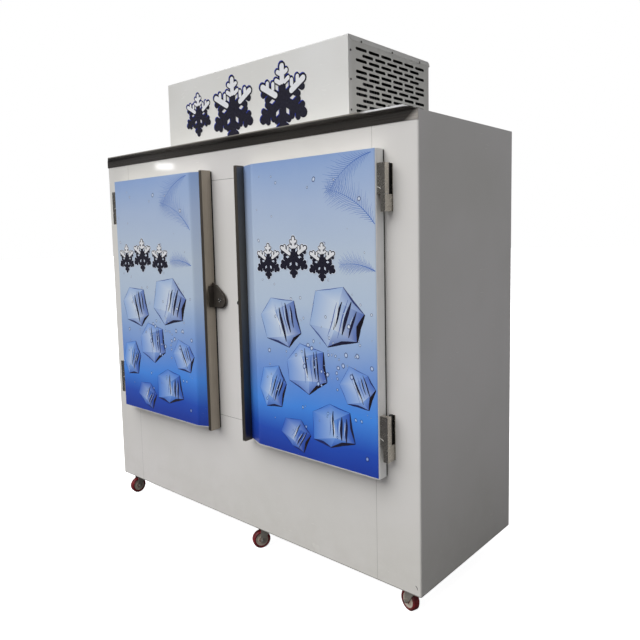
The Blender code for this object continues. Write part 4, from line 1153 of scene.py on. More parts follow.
class Forms:
    """Mesh forms that the fittings are built from.

    The profiles are shares of a form's radius and height, from the axis at its seat to the axis at its top.
    """

    FACETS = 14
    SCREW_HEAD: tuple[Point, ...] = (
        (0.0, 0.0),
        (1.0, 0.0),
        (1.0, 0.30),
        (0.86, 0.72),
        (0.55, 0.96),
        (0.30, 1.0),
        (0.22, 0.45),
        (0.0, 0.35),
    )
    NUT: tuple[Point, ...] = ((0.0, 0.0), (1.0, 0.0), (1.0, 0.8), (0.86, 1.0), (0.0, 1.0))
    BOLT_END: tuple[Point, ...] = ((0.0, 0.5), (0.5, 0.5), (0.5, 1.3), (0.38, 1.45), (0.0, 1.45))

    @staticmethod
    def turn(profile: Sequence[Point], steps: int, spin: Matrix, into: Mesh | None = None) -> Mesh:
        """Turn a closed profile of radius and level pairs.

        Args:
            profile: From the axis at one end to the axis at the other.
            steps: Facets round the axis.
            spin: Where its axis lies.
            into: A mesh to add to, or none for a new one.

        Returns:
            The mesh.
        """
        mesh = into or bmesh.new()
        rings = []
        for radius, level in profile:
            if radius <= 0.0:
                rings.append([mesh.verts.new(spin @ Vector((0.0, 0.0, level)))])
                continue
            ring = []
            for step in range(steps):
                angle = 2.0 * math.pi * step / steps
                point = Vector((radius * math.cos(angle), radius * math.sin(angle), level))
                ring.append(mesh.verts.new(spin @ point))
            rings.append(ring)
        for lower, upper in zip(rings, rings[1:]):
            for step in range(steps):
                following = (step + 1) % steps
                if len(lower) == 1:
                    mesh.faces.new((lower[0], upper[step], upper[following]))
                elif len(upper) == 1:
                    mesh.faces.new((lower[step], lower[following], upper[0]))
                else:
                    mesh.faces.new((lower[step], lower[following], upper[following], upper[step]))
        return mesh

    @staticmethod
    def facing(centre: Triple, direction: Triple) -> Matrix:
        """A matrix that puts +Z of a form along a direction at a place.

        Args:
            centre: The place.
            direction: Where +Z goes.

        Returns:
            The matrix.
        """
        turn = Vector(direction).to_track_quat("Z", "Y").to_matrix().to_4x4()
        return Matrix.Translation(centre) @ turn

    @staticmethod
    def dome_screw(centre: Triple, direction: Triple, radius: float, into: Mesh) -> None:
        """Add a pan-head screw with a cross recess.

        Args:
            centre: The middle of its seat.
            direction: Where its head points.
            radius: Its head's radius.
            into: The mesh to add to.
        """
        spin = Forms.facing(centre, direction)
        rise = radius * 0.55
        profile = [(radius * out, rise * up) for out, up in Forms.SCREW_HEAD]
        Forms.turn(profile, Forms.FACETS, spin, into)

    @staticmethod
    def hex_nut(centre: Triple, direction: Triple, radius: float, height: float, into: Mesh) -> None:
        """Add a nut with a chamfered crown and the bolt's end in it.

        Args:
            centre: The middle of its seat.
            direction: Where it points.
            radius: Its radius over the corners.
            height: Its height.
            into: The mesh to add to.
        """
        spin = Forms.facing(centre, direction)
        for shares, facets in ((Forms.NUT, 6), (Forms.BOLT_END, Forms.FACETS)):
            Forms.turn([(radius * out, height * up) for out, up in shares], facets, spin, into)

    @staticmethod
    def bar(low: Triple, high: Triple, bevel: float, into: Mesh) -> None:
        """Add a straight bar with broken edges.

        Args:
            low: Its lowest corner.
            high: Its highest corner.
            bevel: How much its edges are broken.
            into: The mesh to add to.
        """
        size = Vector(high) - Vector(low)
        place = Matrix.Translation((Vector(high) + Vector(low)) / 2) @ Matrix.Diagonal((*size, 1.0))
        cube = bmesh.ops.create_cube(into, size=1.0, matrix=place)
        edges = {edge for corner in cube["verts"] for edge in corner.link_edges}
        bmesh.ops.bevel(into, geom=list(edges), offset=bevel, segments=2, affect="EDGES", profile=0.5)


class InkSheet:
    """Collects flat coloured shapes and makes one thin printed mesh of them."""

    STEP = 0.00004
    ROUND = 16

    def __init__(self, plane: float) -> None:
        """Start an empty sheet.

        Args:
            plane: The y of the surface it is printed on.
        """
        self.plane = plane
        self.shapes: list[tuple[list[Point], list[Colour], int]] = []

    def shape(self, points: Sequence[Point], tints: Sequence[Tint], layer: int) -> None:
        """Add one convex shape.

        Args:
            points: Its corners as x and z.
            tints: One colour for each corner, or a single one for all.
            layer: How many steps in front of the surface it lies.
        """
        colours = [tint.linear() for tint in tints]
        if len(colours) == 1:
            colours = colours * len(points)
        self.shapes.append((list(points), colours, layer))

    def strip(
        self, line: Sequence[Point], widths: Sequence[float], tints: Sequence[Tint], layer: int
    ) -> None:
        """Add a stroke along a line of points.

        Args:
            line: The stroke's middle.
            widths: Its width at each point.
            tints: Its colour at each point.
            layer: Its layer.
        """
        sides = []
        for number, point in enumerate(line):
            before = Vector(line[max(0, number - 1)])
            after = Vector(line[min(len(line) - 1, number + 1)])
            along = (after - before).normalized()
            out = Vector((-along.y, along.x)) * widths[number] / 2
            middle = Vector(point)
            sides.append((tuple(middle + out), tuple(middle - out)))
        for number in range(len(line) - 1):
            quad = (sides[number][0], sides[number + 1][0], sides[number + 1][1], sides[number][1])
            first, second = tints[number], tints[number + 1]
            self.shape(quad, (first, second, second, first), layer)

    def disc(
        self, centre: Point, radii: Point, rings: Sequence[Ring], layer: int, lean: float = 0.0
    ) -> None:
        """Add an oval with rings of colour.

        Args:
            centre: Its middle.
            radii: Its half width and half height.
            rings: Shares of the radius, from the outside in, and their colours.
            layer: Its layer.
            lean: Its turn in radians.
        """
        loops = []
        for share, _ in rings:
            loop = []
            for step in range(self.ROUND):
                angle = 2.0 * math.pi * step / self.ROUND
                x, z = radii[0] * share * math.cos(angle), radii[1] * share * math.sin(angle)
                loop.append(leant(centre, x, z, lean))
            loops.append(loop)
        tints = [tint for _, tint in rings]
        for outer, inner, outer_tint, inner_tint in zip(loops, loops[1:], tints, tints[1:]):
            for step in range(self.ROUND):
                following = (step + 1) % self.ROUND
                quad = (outer[step], outer[following], inner[following], inner[step])
                self.shape(quad, (outer_tint, outer_tint, inner_tint, inner_tint), layer)
        self.shape(loops[-1], (tints[-1],), layer)

    @staticmethod
    def _turns_right(points: Sequence[Point]) -> bool:
        """Whether a shape's corners run clockwise.

        Args:
            points: Its corners.

        Returns:
            True if they do.
        """
        area = 0.0
        for (x1, z1), (x2, z2) in zip(points, [*points[1:], points[0]]):
            area += x1 * z2 - x2 * z1
        return area < 0.0

    def build(self, name: str, shop: Shop, body: str, slot: str) -> bpy.types.Object:
        """Make the printed piece.

        Args:
            name: The piece's name.
            shop: The shop that places it.
            body: The body it moves with.
            slot: Handed on to the shop, which does not use it.

        Returns:
            The piece.
        """
        mesh = bmesh.new()
        ink = mesh.loops.layers.float_color.new(PRINT.layer)
        for points, colours, layer in self.shapes:
            if self._turns_right(points):
                points, colours = points[::-1], colours[::-1]
            depth = self.plane - self.STEP * layer
            face = mesh.faces.new([mesh.verts.new((x, depth, z)) for x, z in points])
            for loop, colour in zip(face.loops, colours):
                loop[ink] = colour
        return shop.place(name, mesh, PRINT, body, slot, flat=True)


ENAMEL = Enamel("white enamel", Tint(242, 239, 236), 0.24, dust=0.14, shade=Tint(231, 229, 223), foot_darkening=0.20)
HOOD_ENAMEL = Enamel(
    "hood enamel", Tint(239, 239, 237), 0.24, dark_inside=True, dust=0.3, shade=Tint(230, 229, 224)
)
VENT_ENAMEL = Enamel("vent panel enamel", Tint(226, 227, 223), 0.30, dark_from=0.5436, dust=0.3, waves=0.4)
PRINT = PrintInk("printed ink", Tint(60, 80, 160), 0.22)
# The pulls carry painted shade on their fronts and on the grips' outward sides.
PULL_STEEL = BrushedSteel("pull steel", Tint(184, 175, 162), 0.28, front_painted_shade=0.62, grip_painted_shade=0.6)
HASP_STEEL = BrushedSteel("hasp steel", Tint(100, 94, 87), 0.26, metal=0.5)
RAIL_STEEL = RailSteel("rail steel", Tint(63, 59, 55), 0.24)
# The hinge castings carry painted shade on their fronts.
CHROME = ZincPlate("hinge casting", Tint(206, 200, 190), 0.18, front_painted_shade=0.45)
CASTER_ZINC = ZincPlate("caster zinc", Tint(190, 183, 172), 0.38, dust=0.3, metal=0.45)
SCREW_ZINC = ZincPlate("screw zinc", Tint(190, 188, 182), 0.26)
DARK_SCREW = ZincPlate("dark screw", Tint(92, 90, 86), 0.34, rub=0.3)
GALVANISED = SheetMetal("galvanised sheet", Tint(150, 152, 150), 0.36)
GRILLE_SHEET = SheetMetal("rear grille sheet", Tint(168, 170, 168), 0.34, dust=0.2)
LINER = MouldedPlastic("white liner", Tint(226, 228, 228), 0.34)
BLACK_PLASTIC = MouldedPlastic("black plastic", Tint(30, 30, 31), 0.42, shade=Tint(46, 46, 46))
GASKET = Gasket("black gasket", Tint(34, 34, 34), 0.50)
BUSHING = MouldedPlastic("white bushing", Tint(236, 236, 232), 0.36)
FINS = FinnedCoil("coil fins", Tint(178, 180, 180), 0.34)
BLACK_ENAMEL = MouldedPlastic("black enamel", Tint(26, 26, 27), 0.26, grain=420.0, shade=Tint(44, 43, 41))
RED_TYRE = WheelRubber("red tyre", Tint(160, 36, 42), 0.34, dust=0.5)
HUB = MouldedPlastic("wheel hub", Tint(232, 220, 204), 0.34, shade=Tint(186, 172, 154))
FLOOR = StudioFloor("studio floor", Tint(253, 253, 253), 0.8)


@dataclass
class Cabinet:
    """The white insulated cabinet, its rail, its base and its liner."""

    shop: Shop
    scratch_start: Point = (0.892, 0.141)
    scratch_end: Point = (0.901, 0.128)
    scratch_bow: float = 0.002
    scratch_steps: int = 6
    scratch_tint: Tint = Tint(46, 42, 38)
    seam: float = 0.0013
    seam_tint: Tint = Tint(112, 110, 104)
    faint_tint: Tint = Tint(176, 174, 168)
    panels: tuple[str, ...] = (
        "left_wall",
        "right_wall",
        "back_wall",
        "roof_panel",
        "floor_panel",
        "top_fascia",
        "bottom_fascia",
        "mullion",
    )

    def build(self) -> None:
        """Dress the cabinet and add its small mark."""
        self.shop.dress(ENAMEL, *self.panels)
        self.shop.dress(LINER, "inner_liner", "left_throat", "right_throat")
        self.shop.dress(RAIL_STEEL, "drip_rail")
        self.shop.dress(GALVANISED, "base_tray")
        self.shop.dress(SCREW_ZINC, "floor_rack")
        self._seams()
        self._paint_chip()

    def _seams(self) -> None:
        """Thin lines of old sealant where the front's panels meet."""
        low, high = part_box("mullion")
        sheet = InkSheet(low[1])
        for level in (low[2], high[2]):
            line = [(low[0], level), (high[0], level)]
            sheet.strip(line, [self.seam] * 2, [self.seam_tint] * 2, 1)
        for node in ("top_fascia", "bottom_fascia"):
            first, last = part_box(node)
            for x in (first[0], last[0]):
                sheet.strip([(x, first[2]), (x, last[2])], [self.seam] * 2, [self.faint_tint] * 2, 1)
        sheet.build("front_seams", self.shop, "cabinet", "white_enamel")

    def _paint_chip(self) -> None:
        """The small dark curved chip low on the right of the front."""
        sheet = InkSheet(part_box("right_wall")[0][1])
        (x1, z1), (x2, z2) = self.scratch_start, self.scratch_end
        line, widths = [], []
        for step in range(self.scratch_steps + 1):
            share = step / self.scratch_steps
            bow = math.sin(math.pi * share) * self.scratch_bow
            line.append((x1 + (x2 - x1) * share + bow, z1 + (z2 - z1) * share + bow))
            widths.append(0.0012 + 0.0016 * math.sin(math.pi * step / self.scratch_steps))
        sheet.strip(line, widths, [self.scratch_tint] * len(line), 1)
        sheet.build("front_paint_chip", self.shop, "cabinet", "white_enamel")


@dataclass(frozen=True)
class IceShard:
    """A faceted lump of clear ice, drawn flat."""

    centre: Point
    width: float
    height: float
    lean: float
    seed: int
    pale_tint: Tint = Tint(236, 243, 252)
    mid_tint: Tint = Tint(112, 156, 230)
    deep_tint: Tint = Tint(16, 44, 150)
    gleam_tint: Tint = Tint(240, 246, 254)
    glint_tint: Tint = Tint(206, 224, 248)
    light_from: Point = (-0.85, 0.53)
    corners: int = 6
    streaks: int = 5
    dark_streaks: tuple[int, ...] = (0, 1, 3)
    streak_points: int = 8
    shortest_streak: int = 5
    hair_line: float = 0.0006

    def draw(self, sheet: InkSheet, low: float, high: float) -> None:
        """Print the lump.

        Args:
            sheet: The sheet to print on.
            low: The z of the film's bottom.
            high: The z of its top.
        """
        dice = random.Random(self.seed)
        ground = GRADIENT.at((self.centre[1] - low) / (high - low))
        pale = ground.towards(self.pale_tint, 0.66)
        mid = ground.towards(self.mid_tint, 0.28)
        deep = ground.towards(self.deep_tint, 0.62)
        outline = self._outline(dice)
        crown = self._spot((dice.uniform(-0.10, 0.06), dice.uniform(0.14, 0.26)))
        foot = self._spot((dice.uniform(-0.16, 0.04), dice.uniform(-0.30, -0.18)))
        for corner, following in zip(outline, [*outline[1:], outline[0]]):
            light = self._light(corner, following)
            edge = deep.towards(mid, min(1.0, light * 1.4))
            core = mid.towards(pale, 0.25 + 0.75 * light)
            hub_a, hub_b = (crown if self._upper(spot) else foot for spot in (corner, following))
            sheet.shape((corner, following, hub_b), (edge, edge, core), 1)
            if hub_a != hub_b:
                sheet.shape((corner, hub_b, hub_a), (edge, core, pale), 1)
            else:
                sheet.shape((corner, following, hub_a), (edge, edge.towards(pale, 0.2), core), 2)
        self._rim(sheet, dice, outline, deep)
        self._streaks(sheet, dice, outline, deep)
        gleam = [Vector(crown), Vector(crown).lerp(Vector(foot), 0.5), Vector(foot)]
        self._stroke(sheet, gleam, self.width * 0.022, self.gleam_tint, 5)

    def _upper(self, spot: Point) -> bool:
        """Whether a corner belongs to the upper half of the lump."""
        x, z = spot[0] - self.centre[0], spot[1] - self.centre[1]
        return z * math.cos(self.lean) - x * math.sin(self.lean) > 0.0

    def _light(self, corner: Point, following: Point) -> float:
        """How much light an edge of an anticlockwise outline faces, from 0 to 1."""
        out = Vector((following[1] - corner[1], corner[0] - following[0])).normalized()
        return 0.5 + 0.5 * out.dot(Vector(self.light_from))

    def _rim(self, sheet: InkSheet, dice: random.Random, outline: Sequence[Point], deep: Tint) -> None:
        """The dark rim, thick on the shaded edges and a hair line on the lit ones.

        Args:
            sheet: The sheet to print on.
            dice: The lump's own chance.
            outline: The lump's corners.
            deep: The deep blue of its rim.
        """
        centre = Vector(self.centre)
        for corner, following in zip(outline, [*outline[1:], outline[0]]):
            shade = (1.0 - self._light(corner, following)) ** 2
            thick = self.width * (0.012 + 0.080 * shade * dice.uniform(0.6, 1.1))
            start, end = Vector(corner), Vector(following)
            middle = (start + end) / 2
            pull = thick * 0.4 / max(0.001, (middle - centre).length)
            bend = middle + (centre - middle) * (pull + 0.02 * shade)
            line = [start, start.lerp(bend, 0.6), bend, bend.lerp(end, 0.4), end]
            self._stroke(sheet, line, thick, deep.towards(INK, shade * 1.4), 3)

    def _streaks(self, sheet: InkSheet, dice: random.Random, outline: Sequence[Point], deep: Tint) -> None:
        """Dark streaks inside, where the ice bends the light.

        Args:
            sheet: The sheet to print on.
            dice: The lump's own chance.
            outline: The lump's corners, which no streak passes.
            deep: The deep blue of its paler streaks.
        """
        for number in range(self.streaks):
            across = 0.34 - 0.095 * number + dice.uniform(-0.02, 0.02)
            top, bottom = dice.uniform(0.20, 0.40), -dice.uniform(0.16, 0.40)
            line = []
            for step in range(self.streak_points):
                share = step / (self.streak_points - 1)
                sway = 0.007 * math.sin(2.0 * share * math.pi + number) - 0.06 * share
                spot = Vector(self._spot((across + sway, top + (bottom - top) * share)))
                if self._holds(outline, spot):
                    line.append(spot)
            if len(line) < self.shortest_streak:
                continue
            dark = number in self.dark_streaks
            thick = self.width * (dice.uniform(0.035, 0.07) if dark else dice.uniform(0.010, 0.022))
            self._stroke(sheet, line, thick, INK if dark else deep, 4)
            if dark:
                glint = [point + Vector((-thick * 0.75, 0.0)) for point in line[1:-2]]
                self._stroke(sheet, glint, thick * 0.3, self.glint_tint, 5)

    @staticmethod
    def _holds(outline: Sequence[Point], spot: Vector) -> bool:
        """Whether a point lies inside a convex anticlockwise outline."""
        for corner, following in zip(outline, [*outline[1:], outline[0]]):
            side = Vector(following) - Vector(corner)
            if side.cross(spot - Vector(corner)) < 0.002 * side.length:
                return False
        return True

    def _stroke(
        self, sheet: InkSheet, line: Sequence[Vector], thick: float, tint: Tint, layer: int
    ) -> None:
        """One stroke that swells in its middle.

        Args:
            sheet: The sheet to print on.
            line: Its middle line.
            thick: Its greatest width.
            tint: Its colour.
            layer: Its layer.
        """
        last = len(line) - 1
        swell = [math.sin(math.pi * (0.08 + 0.84 * number / last)) for number in range(last + 1)]
        widths = [max(self.hair_line, thick * share) for share in swell]
        sheet.strip([tuple(point) for point in line], widths, [tint] * len(line), layer)

    def _outline(self, dice: random.Random) -> list[Point]:
        """The lump's corners, anticlockwise.

        Args:
            dice: The lump's own chance.

        Returns:
            Its corners.
        """
        corners = []
        for number in range(self.corners):
            angle = 2.0 * math.pi * (number + 0.5 + dice.uniform(-0.20, 0.20)) / self.corners
            reach = dice.uniform(0.46, 0.54)
            cos, sin = math.cos(angle), math.sin(angle)
            squared = (1.0 / max(abs(cos), abs(sin))) ** 0.5
            corners.append(self._spot((reach * cos * squared, reach * sin * squared)))
        return corners

    def _spot(self, share: Point) -> Point:
        """A point of the lump from shares of its width and height."""
        return leant(self.centre, share[0] * self.width, share[1] * self.height, self.lean)


@dataclass(frozen=True)
class FrostFern:
    """A bent feather of frost with fine side blades."""

    foot: Point
    heading: float
    bend: float
    length: float
    ceiling: float
    steps: int = 26
    stem_width: float = 0.0034
    blade_widths: tuple[float, ...] = (0.0016, 0.0013, 0.0004)
    blade_angle: float = 0.85

    def draw(self, sheet: InkSheet, tint: Tint, layer: int) -> None:
        """Print the fern, with no blade above its ceiling.

        Args:
            sheet: The sheet to print on.
            tint: Its colour.
            layer: Its layer.
        """
        steps = self.steps
        spot, heading = Vector(self.foot), self.heading
        stem = [tuple(spot)]
        for step in range(steps):
            heading += self.bend / steps
            spot = spot + bearing(heading) * self.length / steps
            stem.append(tuple(spot))
            reach = self.length * 0.30 * math.sin(math.pi * (0.12 + 0.80 * step / steps))
            for side in (-1, 1):
                way = heading + side * self.blade_angle
                tip = spot + bearing(way) * reach * (0.75 + 0.25 * (step % 3))
                if tip.y > self.ceiling:
                    tip = spot.lerp(tip, max(0.1, (self.ceiling - spot.y) / (tip.y - spot.y)))
                elbow = spot.lerp(tip, 0.5) + bearing(heading) * reach * 0.06
                blade = [tuple(spot), tuple(elbow), tuple(tip)]
                sheet.strip(blade, self.blade_widths, [tint] * len(blade), layer + 1 + step % 2)
        widths = [self.stem_width * (1.0 - 0.8 * number / steps) for number in range(steps + 1)]
        sheet.strip(stem, widths, [tint] * (steps + 1), layer)


@dataclass(frozen=True)
class Snowflake:
    """A six-armed snowflake of rounded bars."""

    centre: Point
    radius: float
    bar: float
    turn: float = math.pi / 2
    branches: tuple[Point, ...] = ((0.46, 0.30), (0.74, 0.22))
    branch_bar: float = 0.72
    snow_from: float = 0.45
    snow_bar: float = 0.62
    snow_tint: Tint = Tint(240, 241, 244)
    round_steps: int = 6

    def bars(self) -> list[tuple[Point, Point, float]]:
        """The bars of the flake.

        Returns:
            Start, end and width of each bar.
        """
        result = []
        for number in range(6):
            angle = self.turn + number * math.pi / 3
            way = bearing(angle)
            tip = Vector(self.centre) + way * self.radius
            result.append((self.centre, tuple(tip), self.bar))
            for share, reach in self.branches:
                foot = Vector(self.centre) + way * self.radius * share
                for side in (-1, 1):
                    end = foot + bearing(angle + side * math.pi / 3) * self.radius * reach
                    result.append((tuple(foot), tuple(end), self.bar * self.branch_bar))
        return result

    def draw(
        self, sheet: InkSheet, tint: Tint, layer: int, shift: Point = (0.0, 0.0), grow: float = 1.0
    ) -> None:
        """Print the flake.

        Args:
            sheet: The sheet to print on.
            tint: Its colour.
            layer: Its layer.
            shift: How far to move it.
            grow: How much to widen its bars.
        """
        for number, (start, end, width) in enumerate(self.bars()):
            arm, place = divmod(number, 5)
            outline = self.capsule(start, end, width * grow, shift)
            sheet.shape(outline, (tint,), layer + (arm if place == 0 else 5 + place))

    def crown(self, sheet: InkSheet, layer: int) -> None:
        """Lay snow on the flake's upper arms.

        Args:
            sheet: The sheet to print on.
            layer: Its layer.
        """
        for number, (start, end, width) in enumerate(self.bars()):
            if max(start[1], end[1]) < self.centre[1] + self.radius * self.snow_from:
                continue
            low, high = sorted((Vector(start), Vector(end)), key=lambda point: point.y)
            begin = high.lerp(low, min(1.0, 0.45 + 0.1 * (number % 3)))
            outline = self.capsule(tuple(begin), tuple(high), width * self.snow_bar, (0.0, 0.0))
            sheet.shape(outline, (self.snow_tint,), layer + number % 5)

    def capsule(self, start: Point, end: Point, width: float, shift: Point) -> list[Point]:
        """The outline of a round-ended bar.

        Args:
            start: One end.
            end: The other end.
            width: Its width.
            shift: How far to move it.

        Returns:
            Its corners, anticlockwise.
        """
        first, last = Vector(start) + Vector(shift), Vector(end) + Vector(shift)
        heading = math.atan2(last.y - first.y, last.x - first.x)
        half = width / 2
        points = []
        for middle, base in ((last, heading - math.pi / 2), (first, heading + math.pi / 2)):
            for step in range(self.round_steps + 1):
                angle = base + math.pi * step / self.round_steps
                points.append((middle.x + half * math.cos(angle), middle.y + half * math.sin(angle)))
        return points


@dataclass
class Door:
    """One door with its film, grab edge, gasket, liner and hinges."""

    shop: Shop
    side: Side
    crease: float = 0.196
    edge: float = 0.006
    lumps: tuple[tuple[float, float, float, float, float], ...] = (
        (0.23, 0.46, 0.20, 0.20, 0.35),
        (0.70, 0.49, 0.24, 0.24, -0.25),
        (0.45, 0.31, 0.19, 0.20, 0.20),
        (0.86, 0.27, 0.14, 0.16, 0.50),
        (0.14, 0.23, 0.14, 0.18, -0.30),
        (0.66, 0.13, 0.20, 0.16, 0.12),
        (0.34, 0.08, 0.14, 0.12, -0.45),
    )
    dark_flakes: tuple[tuple[float, float, float], ...] = (
        (0.13, 0.665, 0.060),
        (0.36, 0.680, 0.068),
        (0.60, 0.665, 0.060),
    )
    ferns: tuple[tuple[float, float, float, float, float], ...] = (
        (1.00, 0.78, 2.20, 0.75, 0.24),
        (0.98, 0.99, 3.30, 0.80, 0.22),
        (1.00, 0.64, 2.70, 0.60, 0.15),
    )
    drops: int = 110
    drop_sizes: tuple[float, ...] = (0.0018, 0.0026, 0.0036, 0.0050, 0.0075)
    frost_tint: Tint = Tint(84, 124, 206)
    flake_edge_tint: Tint = Tint(228, 236, 250)
    drop_rim_tint: Tint = Tint(18, 22, 80)

    @property
    def body(self) -> str:
        """The body that the door's pieces ride on."""
        return f"{self.side.word}_leaf"

    def build(self) -> None:
        """Dress the door's nodes and print its film."""
        word = self.side.word
        low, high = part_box(f"{word}_door")
        span = {"low": low[2], "high": high[2], "crease": self.crease}
        film = DoorFilm(f"{word} door film", Tint(230, 229, 225), 0.22, **span)
        self.shop.dress(film, f"{word}_door")
        self.shop.dress(PULL_STEEL, f"{word}_pull")
        self.shop.dress(GASKET, f"{word}_gasket")
        self.shop.dress(LINER, f"{word}_door_liner")
        for level in ("upper", "lower"):
            self.shop.dress(CHROME, f"{word}_{level}_hinge_leaf", f"{word}_{level}_hinge_base")
        self._print(low, high)

    def _print(self, low: Sequence[float], high: Sequence[float]) -> None:
        """Print the lumps of ice, flakes, frost and drops on the flat of the film.

        Args:
            low: The door's lowest corner.
            high: The door's highest corner.
        """
        sheet = InkSheet(low[1])
        near = self.crease + self.edge
        far = max(abs(low[0]), abs(high[0])) - self.edge
        left = -far if self.side is Side.LEFT else near
        width, height = far - near, high[2] - low[2]

        def spot(x: float, z: float) -> Point:
            """A place on the film from shares of its width and height."""
            return (left + x * width, low[2] + z * height)

        for x, z, heading, bend, length in self.ferns:
            fern = FrostFern(spot(x, z), heading, bend, length, high[2] - self.edge)
            fern.draw(sheet, self.frost_tint, 1)
        for number, (x, z, wide, tall, lean) in enumerate(self.lumps):
            IceShard(spot(x, z), wide, tall, lean, 11 + 7 * number).draw(sheet, low[2], high[2])
        for x, z, radius in self.dark_flakes:
            flake = Snowflake(spot(x, z), radius, radius * 0.31)
            flake.draw(sheet, self.flake_edge_tint, 1, grow=1.28)
            flake.draw(sheet, FLAKE_INK, 11)
            flake.crown(sheet, 21)
        self._drops(sheet, spot, low[2], high[2])
        sheet.build(f"{self.side.word}_door_print", self.shop, self.body, "door_print")

    def _drops(
        self, sheet: InkSheet, spot: Callable[[float, float], Point], low: float, high: float
    ) -> None:
        """Print loose drops with a dark rim and a bright spot.

        Args:
            sheet: The sheet to print on.
            spot: Gives a place from shares of the film.
            low: The z of the film's bottom.
            high: The z of its top.
        """
        dice = random.Random(5)
        for number in range(self.drops):
            x, z = dice.uniform(0.03, 0.97), dice.uniform(0.04, 0.96)
            if number % 2:
                x = min(0.97, max(0.03, dice.gauss(0.62, 0.20)))
                z = min(0.90, max(0.04, dice.gauss(0.34, 0.10)))
            size = dice.choice(self.drop_sizes)
            centre = spot(x, z)
            ground = GRADIENT.at((centre[1] - low) / (high - low))
            rim = ground.towards(self.drop_rim_tint, 0.8)
            rings = (
                (1.0, rim),
                (0.78, rim.towards(ground, 0.3)),
                (0.60, ground.towards(WHITE, 0.35)),
                (0.20, ground.towards(WHITE, 0.6)),
            )
            sheet.disc(centre, (size, size * dice.uniform(1.0, 1.5)), rings, 6, dice.uniform(-0.5, 0.5))


@dataclass
class Hood:
    """The hood over the refrigeration unit, its ornaments and its screws."""

    shop: Shop
    ornaments: tuple[tuple[str, float, float, float], ...] = (
        ("left", -0.325, 1.885, 0.085),
        ("middle", -0.090, 1.875, 0.125),
        ("right", 0.210, 1.870, 0.130),
    )
    lip_screws: tuple[tuple[float, float], ...] = (
        (0.200, 2.038),
        (0.400, 2.038),
        (0.600, 2.038),
        (0.134, 1.997),
        (0.134, 1.894),
        (0.134, 1.785),
    )
    screw_radius: float = 0.0042
    baffle_at: float = -0.34
    baffle_margin: float = 0.02
    baffle_foot: float = 0.004
    baffle_drop: float = 0.03
    baffle_lip: float = 0.018
    baffle_sheet: float = 0.0012
    filter_gap: float = 0.004
    filter_depth: float = 0.006
    filter_rim: float = 0.008
    filter_end: float = 0.006
    filter_sheet: float = 0.0008
    filter_pleats: int = 48
    edge_tint: Tint = Tint(30, 50, 160)
    edge_shift: Point = (-0.0035, 0.0035)

    def build(self) -> None:
        """Dress the hood and add its screws and ornaments."""
        self.shop.dress(HOOD_ENAMEL, "hood_cover")
        self.shop.dress(VENT_ENAMEL, "left_vent_panel", "right_vent_panel")
        self.shop.dress(GRILLE_SHEET, "rear_grille")
        self.shop.dress(BLACK_PLASTIC, "cord_gland")
        self._lip_screws()
        self._grille_screws()
        self._baffle()
        self._filter()
        for name, x, z, radius in self.ornaments:
            self._ornament(name, (x, z), radius)

    def _lip_screws(self) -> None:
        """Pan-head screws through the folded lips on both sides."""
        _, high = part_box("hood_cover")
        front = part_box("mullion")[0][1]
        for side in Side:
            mesh = bmesh.new()
            x = side.value * (high[0] - 0.0004)
            for depth, level in self.lip_screws:
                Forms.dome_screw((x, front + depth, level), (side.value, 0.0, 0.0), self.screw_radius, mesh)
            self.shop.place(f"{side.word}_hood_screws", mesh, DARK_SCREW, "cabinet", "bright_zinc")

    def _baffle(self) -> None:
        """A dark folded plate that splits the air of the two vented sides."""
        low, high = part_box("left_vent_panel")
        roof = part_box("roof_panel")[1][2]
        mesh = bmesh.new()
        front, back = low[1] + self.baffle_margin, high[1] - self.baffle_margin
        foot, top = roof + self.baffle_foot, high[2] - self.baffle_drop
        near, lip, sheet = self.baffle_at, self.baffle_at + self.baffle_lip, self.baffle_sheet
        for start, end in (
            ((near, front, foot), (near + sheet, back, top)),
            ((near, front, foot), (lip, back, foot + sheet)),
            ((near, front, top - sheet), (lip, back, top)),
        ):
            Forms.bar(start, end, sheet * 0.3, mesh)
        self.shop.place("air_baffle", mesh, BLACK_PLASTIC, "cabinet", "black_plastic")

    def _filter(self) -> None:
        """A dark pleated filter behind the rear grille."""
        low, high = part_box("rear_grille")
        mesh = bmesh.new()
        near, far = low[1] - self.filter_gap - self.filter_depth, low[1] - self.filter_gap
        width = high[0] - low[0] - 2 * self.filter_rim
        rows = []
        for number in range(self.filter_pleats * 2 + 1):
            x = low[0] + self.filter_rim + width * number / (2 * self.filter_pleats)
            y = far if number % 2 else near
            ends = (low[2] + self.filter_end, high[2] - self.filter_end)
            rows.append([mesh.verts.new((x, y, z)) for z in ends])
        for first, second in zip(rows, rows[1:]):
            mesh.faces.new((first[0], second[0], second[1], first[1]))
        bmesh.ops.solidify(mesh, geom=mesh.faces[:], thickness=self.filter_sheet)
        self.shop.place("rear_filter", mesh, BLACK_PLASTIC, "cabinet", "black_plastic")

    def _grille_screws(self) -> None:
        """Screws at the corners of the rear grille."""
        low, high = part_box("rear_grille")
        mesh = bmesh.new()
        for x in (low[0] + 0.03, 0.0, high[0] - 0.03):
            for z in (low[2] + 0.02, high[2] - 0.03):
                Forms.dome_screw((x, high[1], z), (0.0, 1.0, 0.0), self.screw_radius, mesh)
        self.shop.place("rear_grille_screws", mesh, SCREW_ZINC, "cabinet", "bright_zinc")

    def _ornament(self, name: str, centre: Point, radius: float) -> None:
        """Print one dark snowflake with a bright blue edge and a white crown.

        Args:
            name: Which of the three it is.
            centre: Its middle as x and z.
            radius: Its reach.
        """
        sheet = InkSheet(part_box("hood_cover")[0][1])
        flake = Snowflake(centre, radius, radius * 0.30)
        flake.draw(sheet, self.edge_tint, 1, shift=self.edge_shift)
        flake.draw(sheet, FLAKE_INK, 11)
        flake.crown(sheet, 21)
        sheet.build(f"{name}_hood_ornament", self.shop, "cabinet", "door_print")


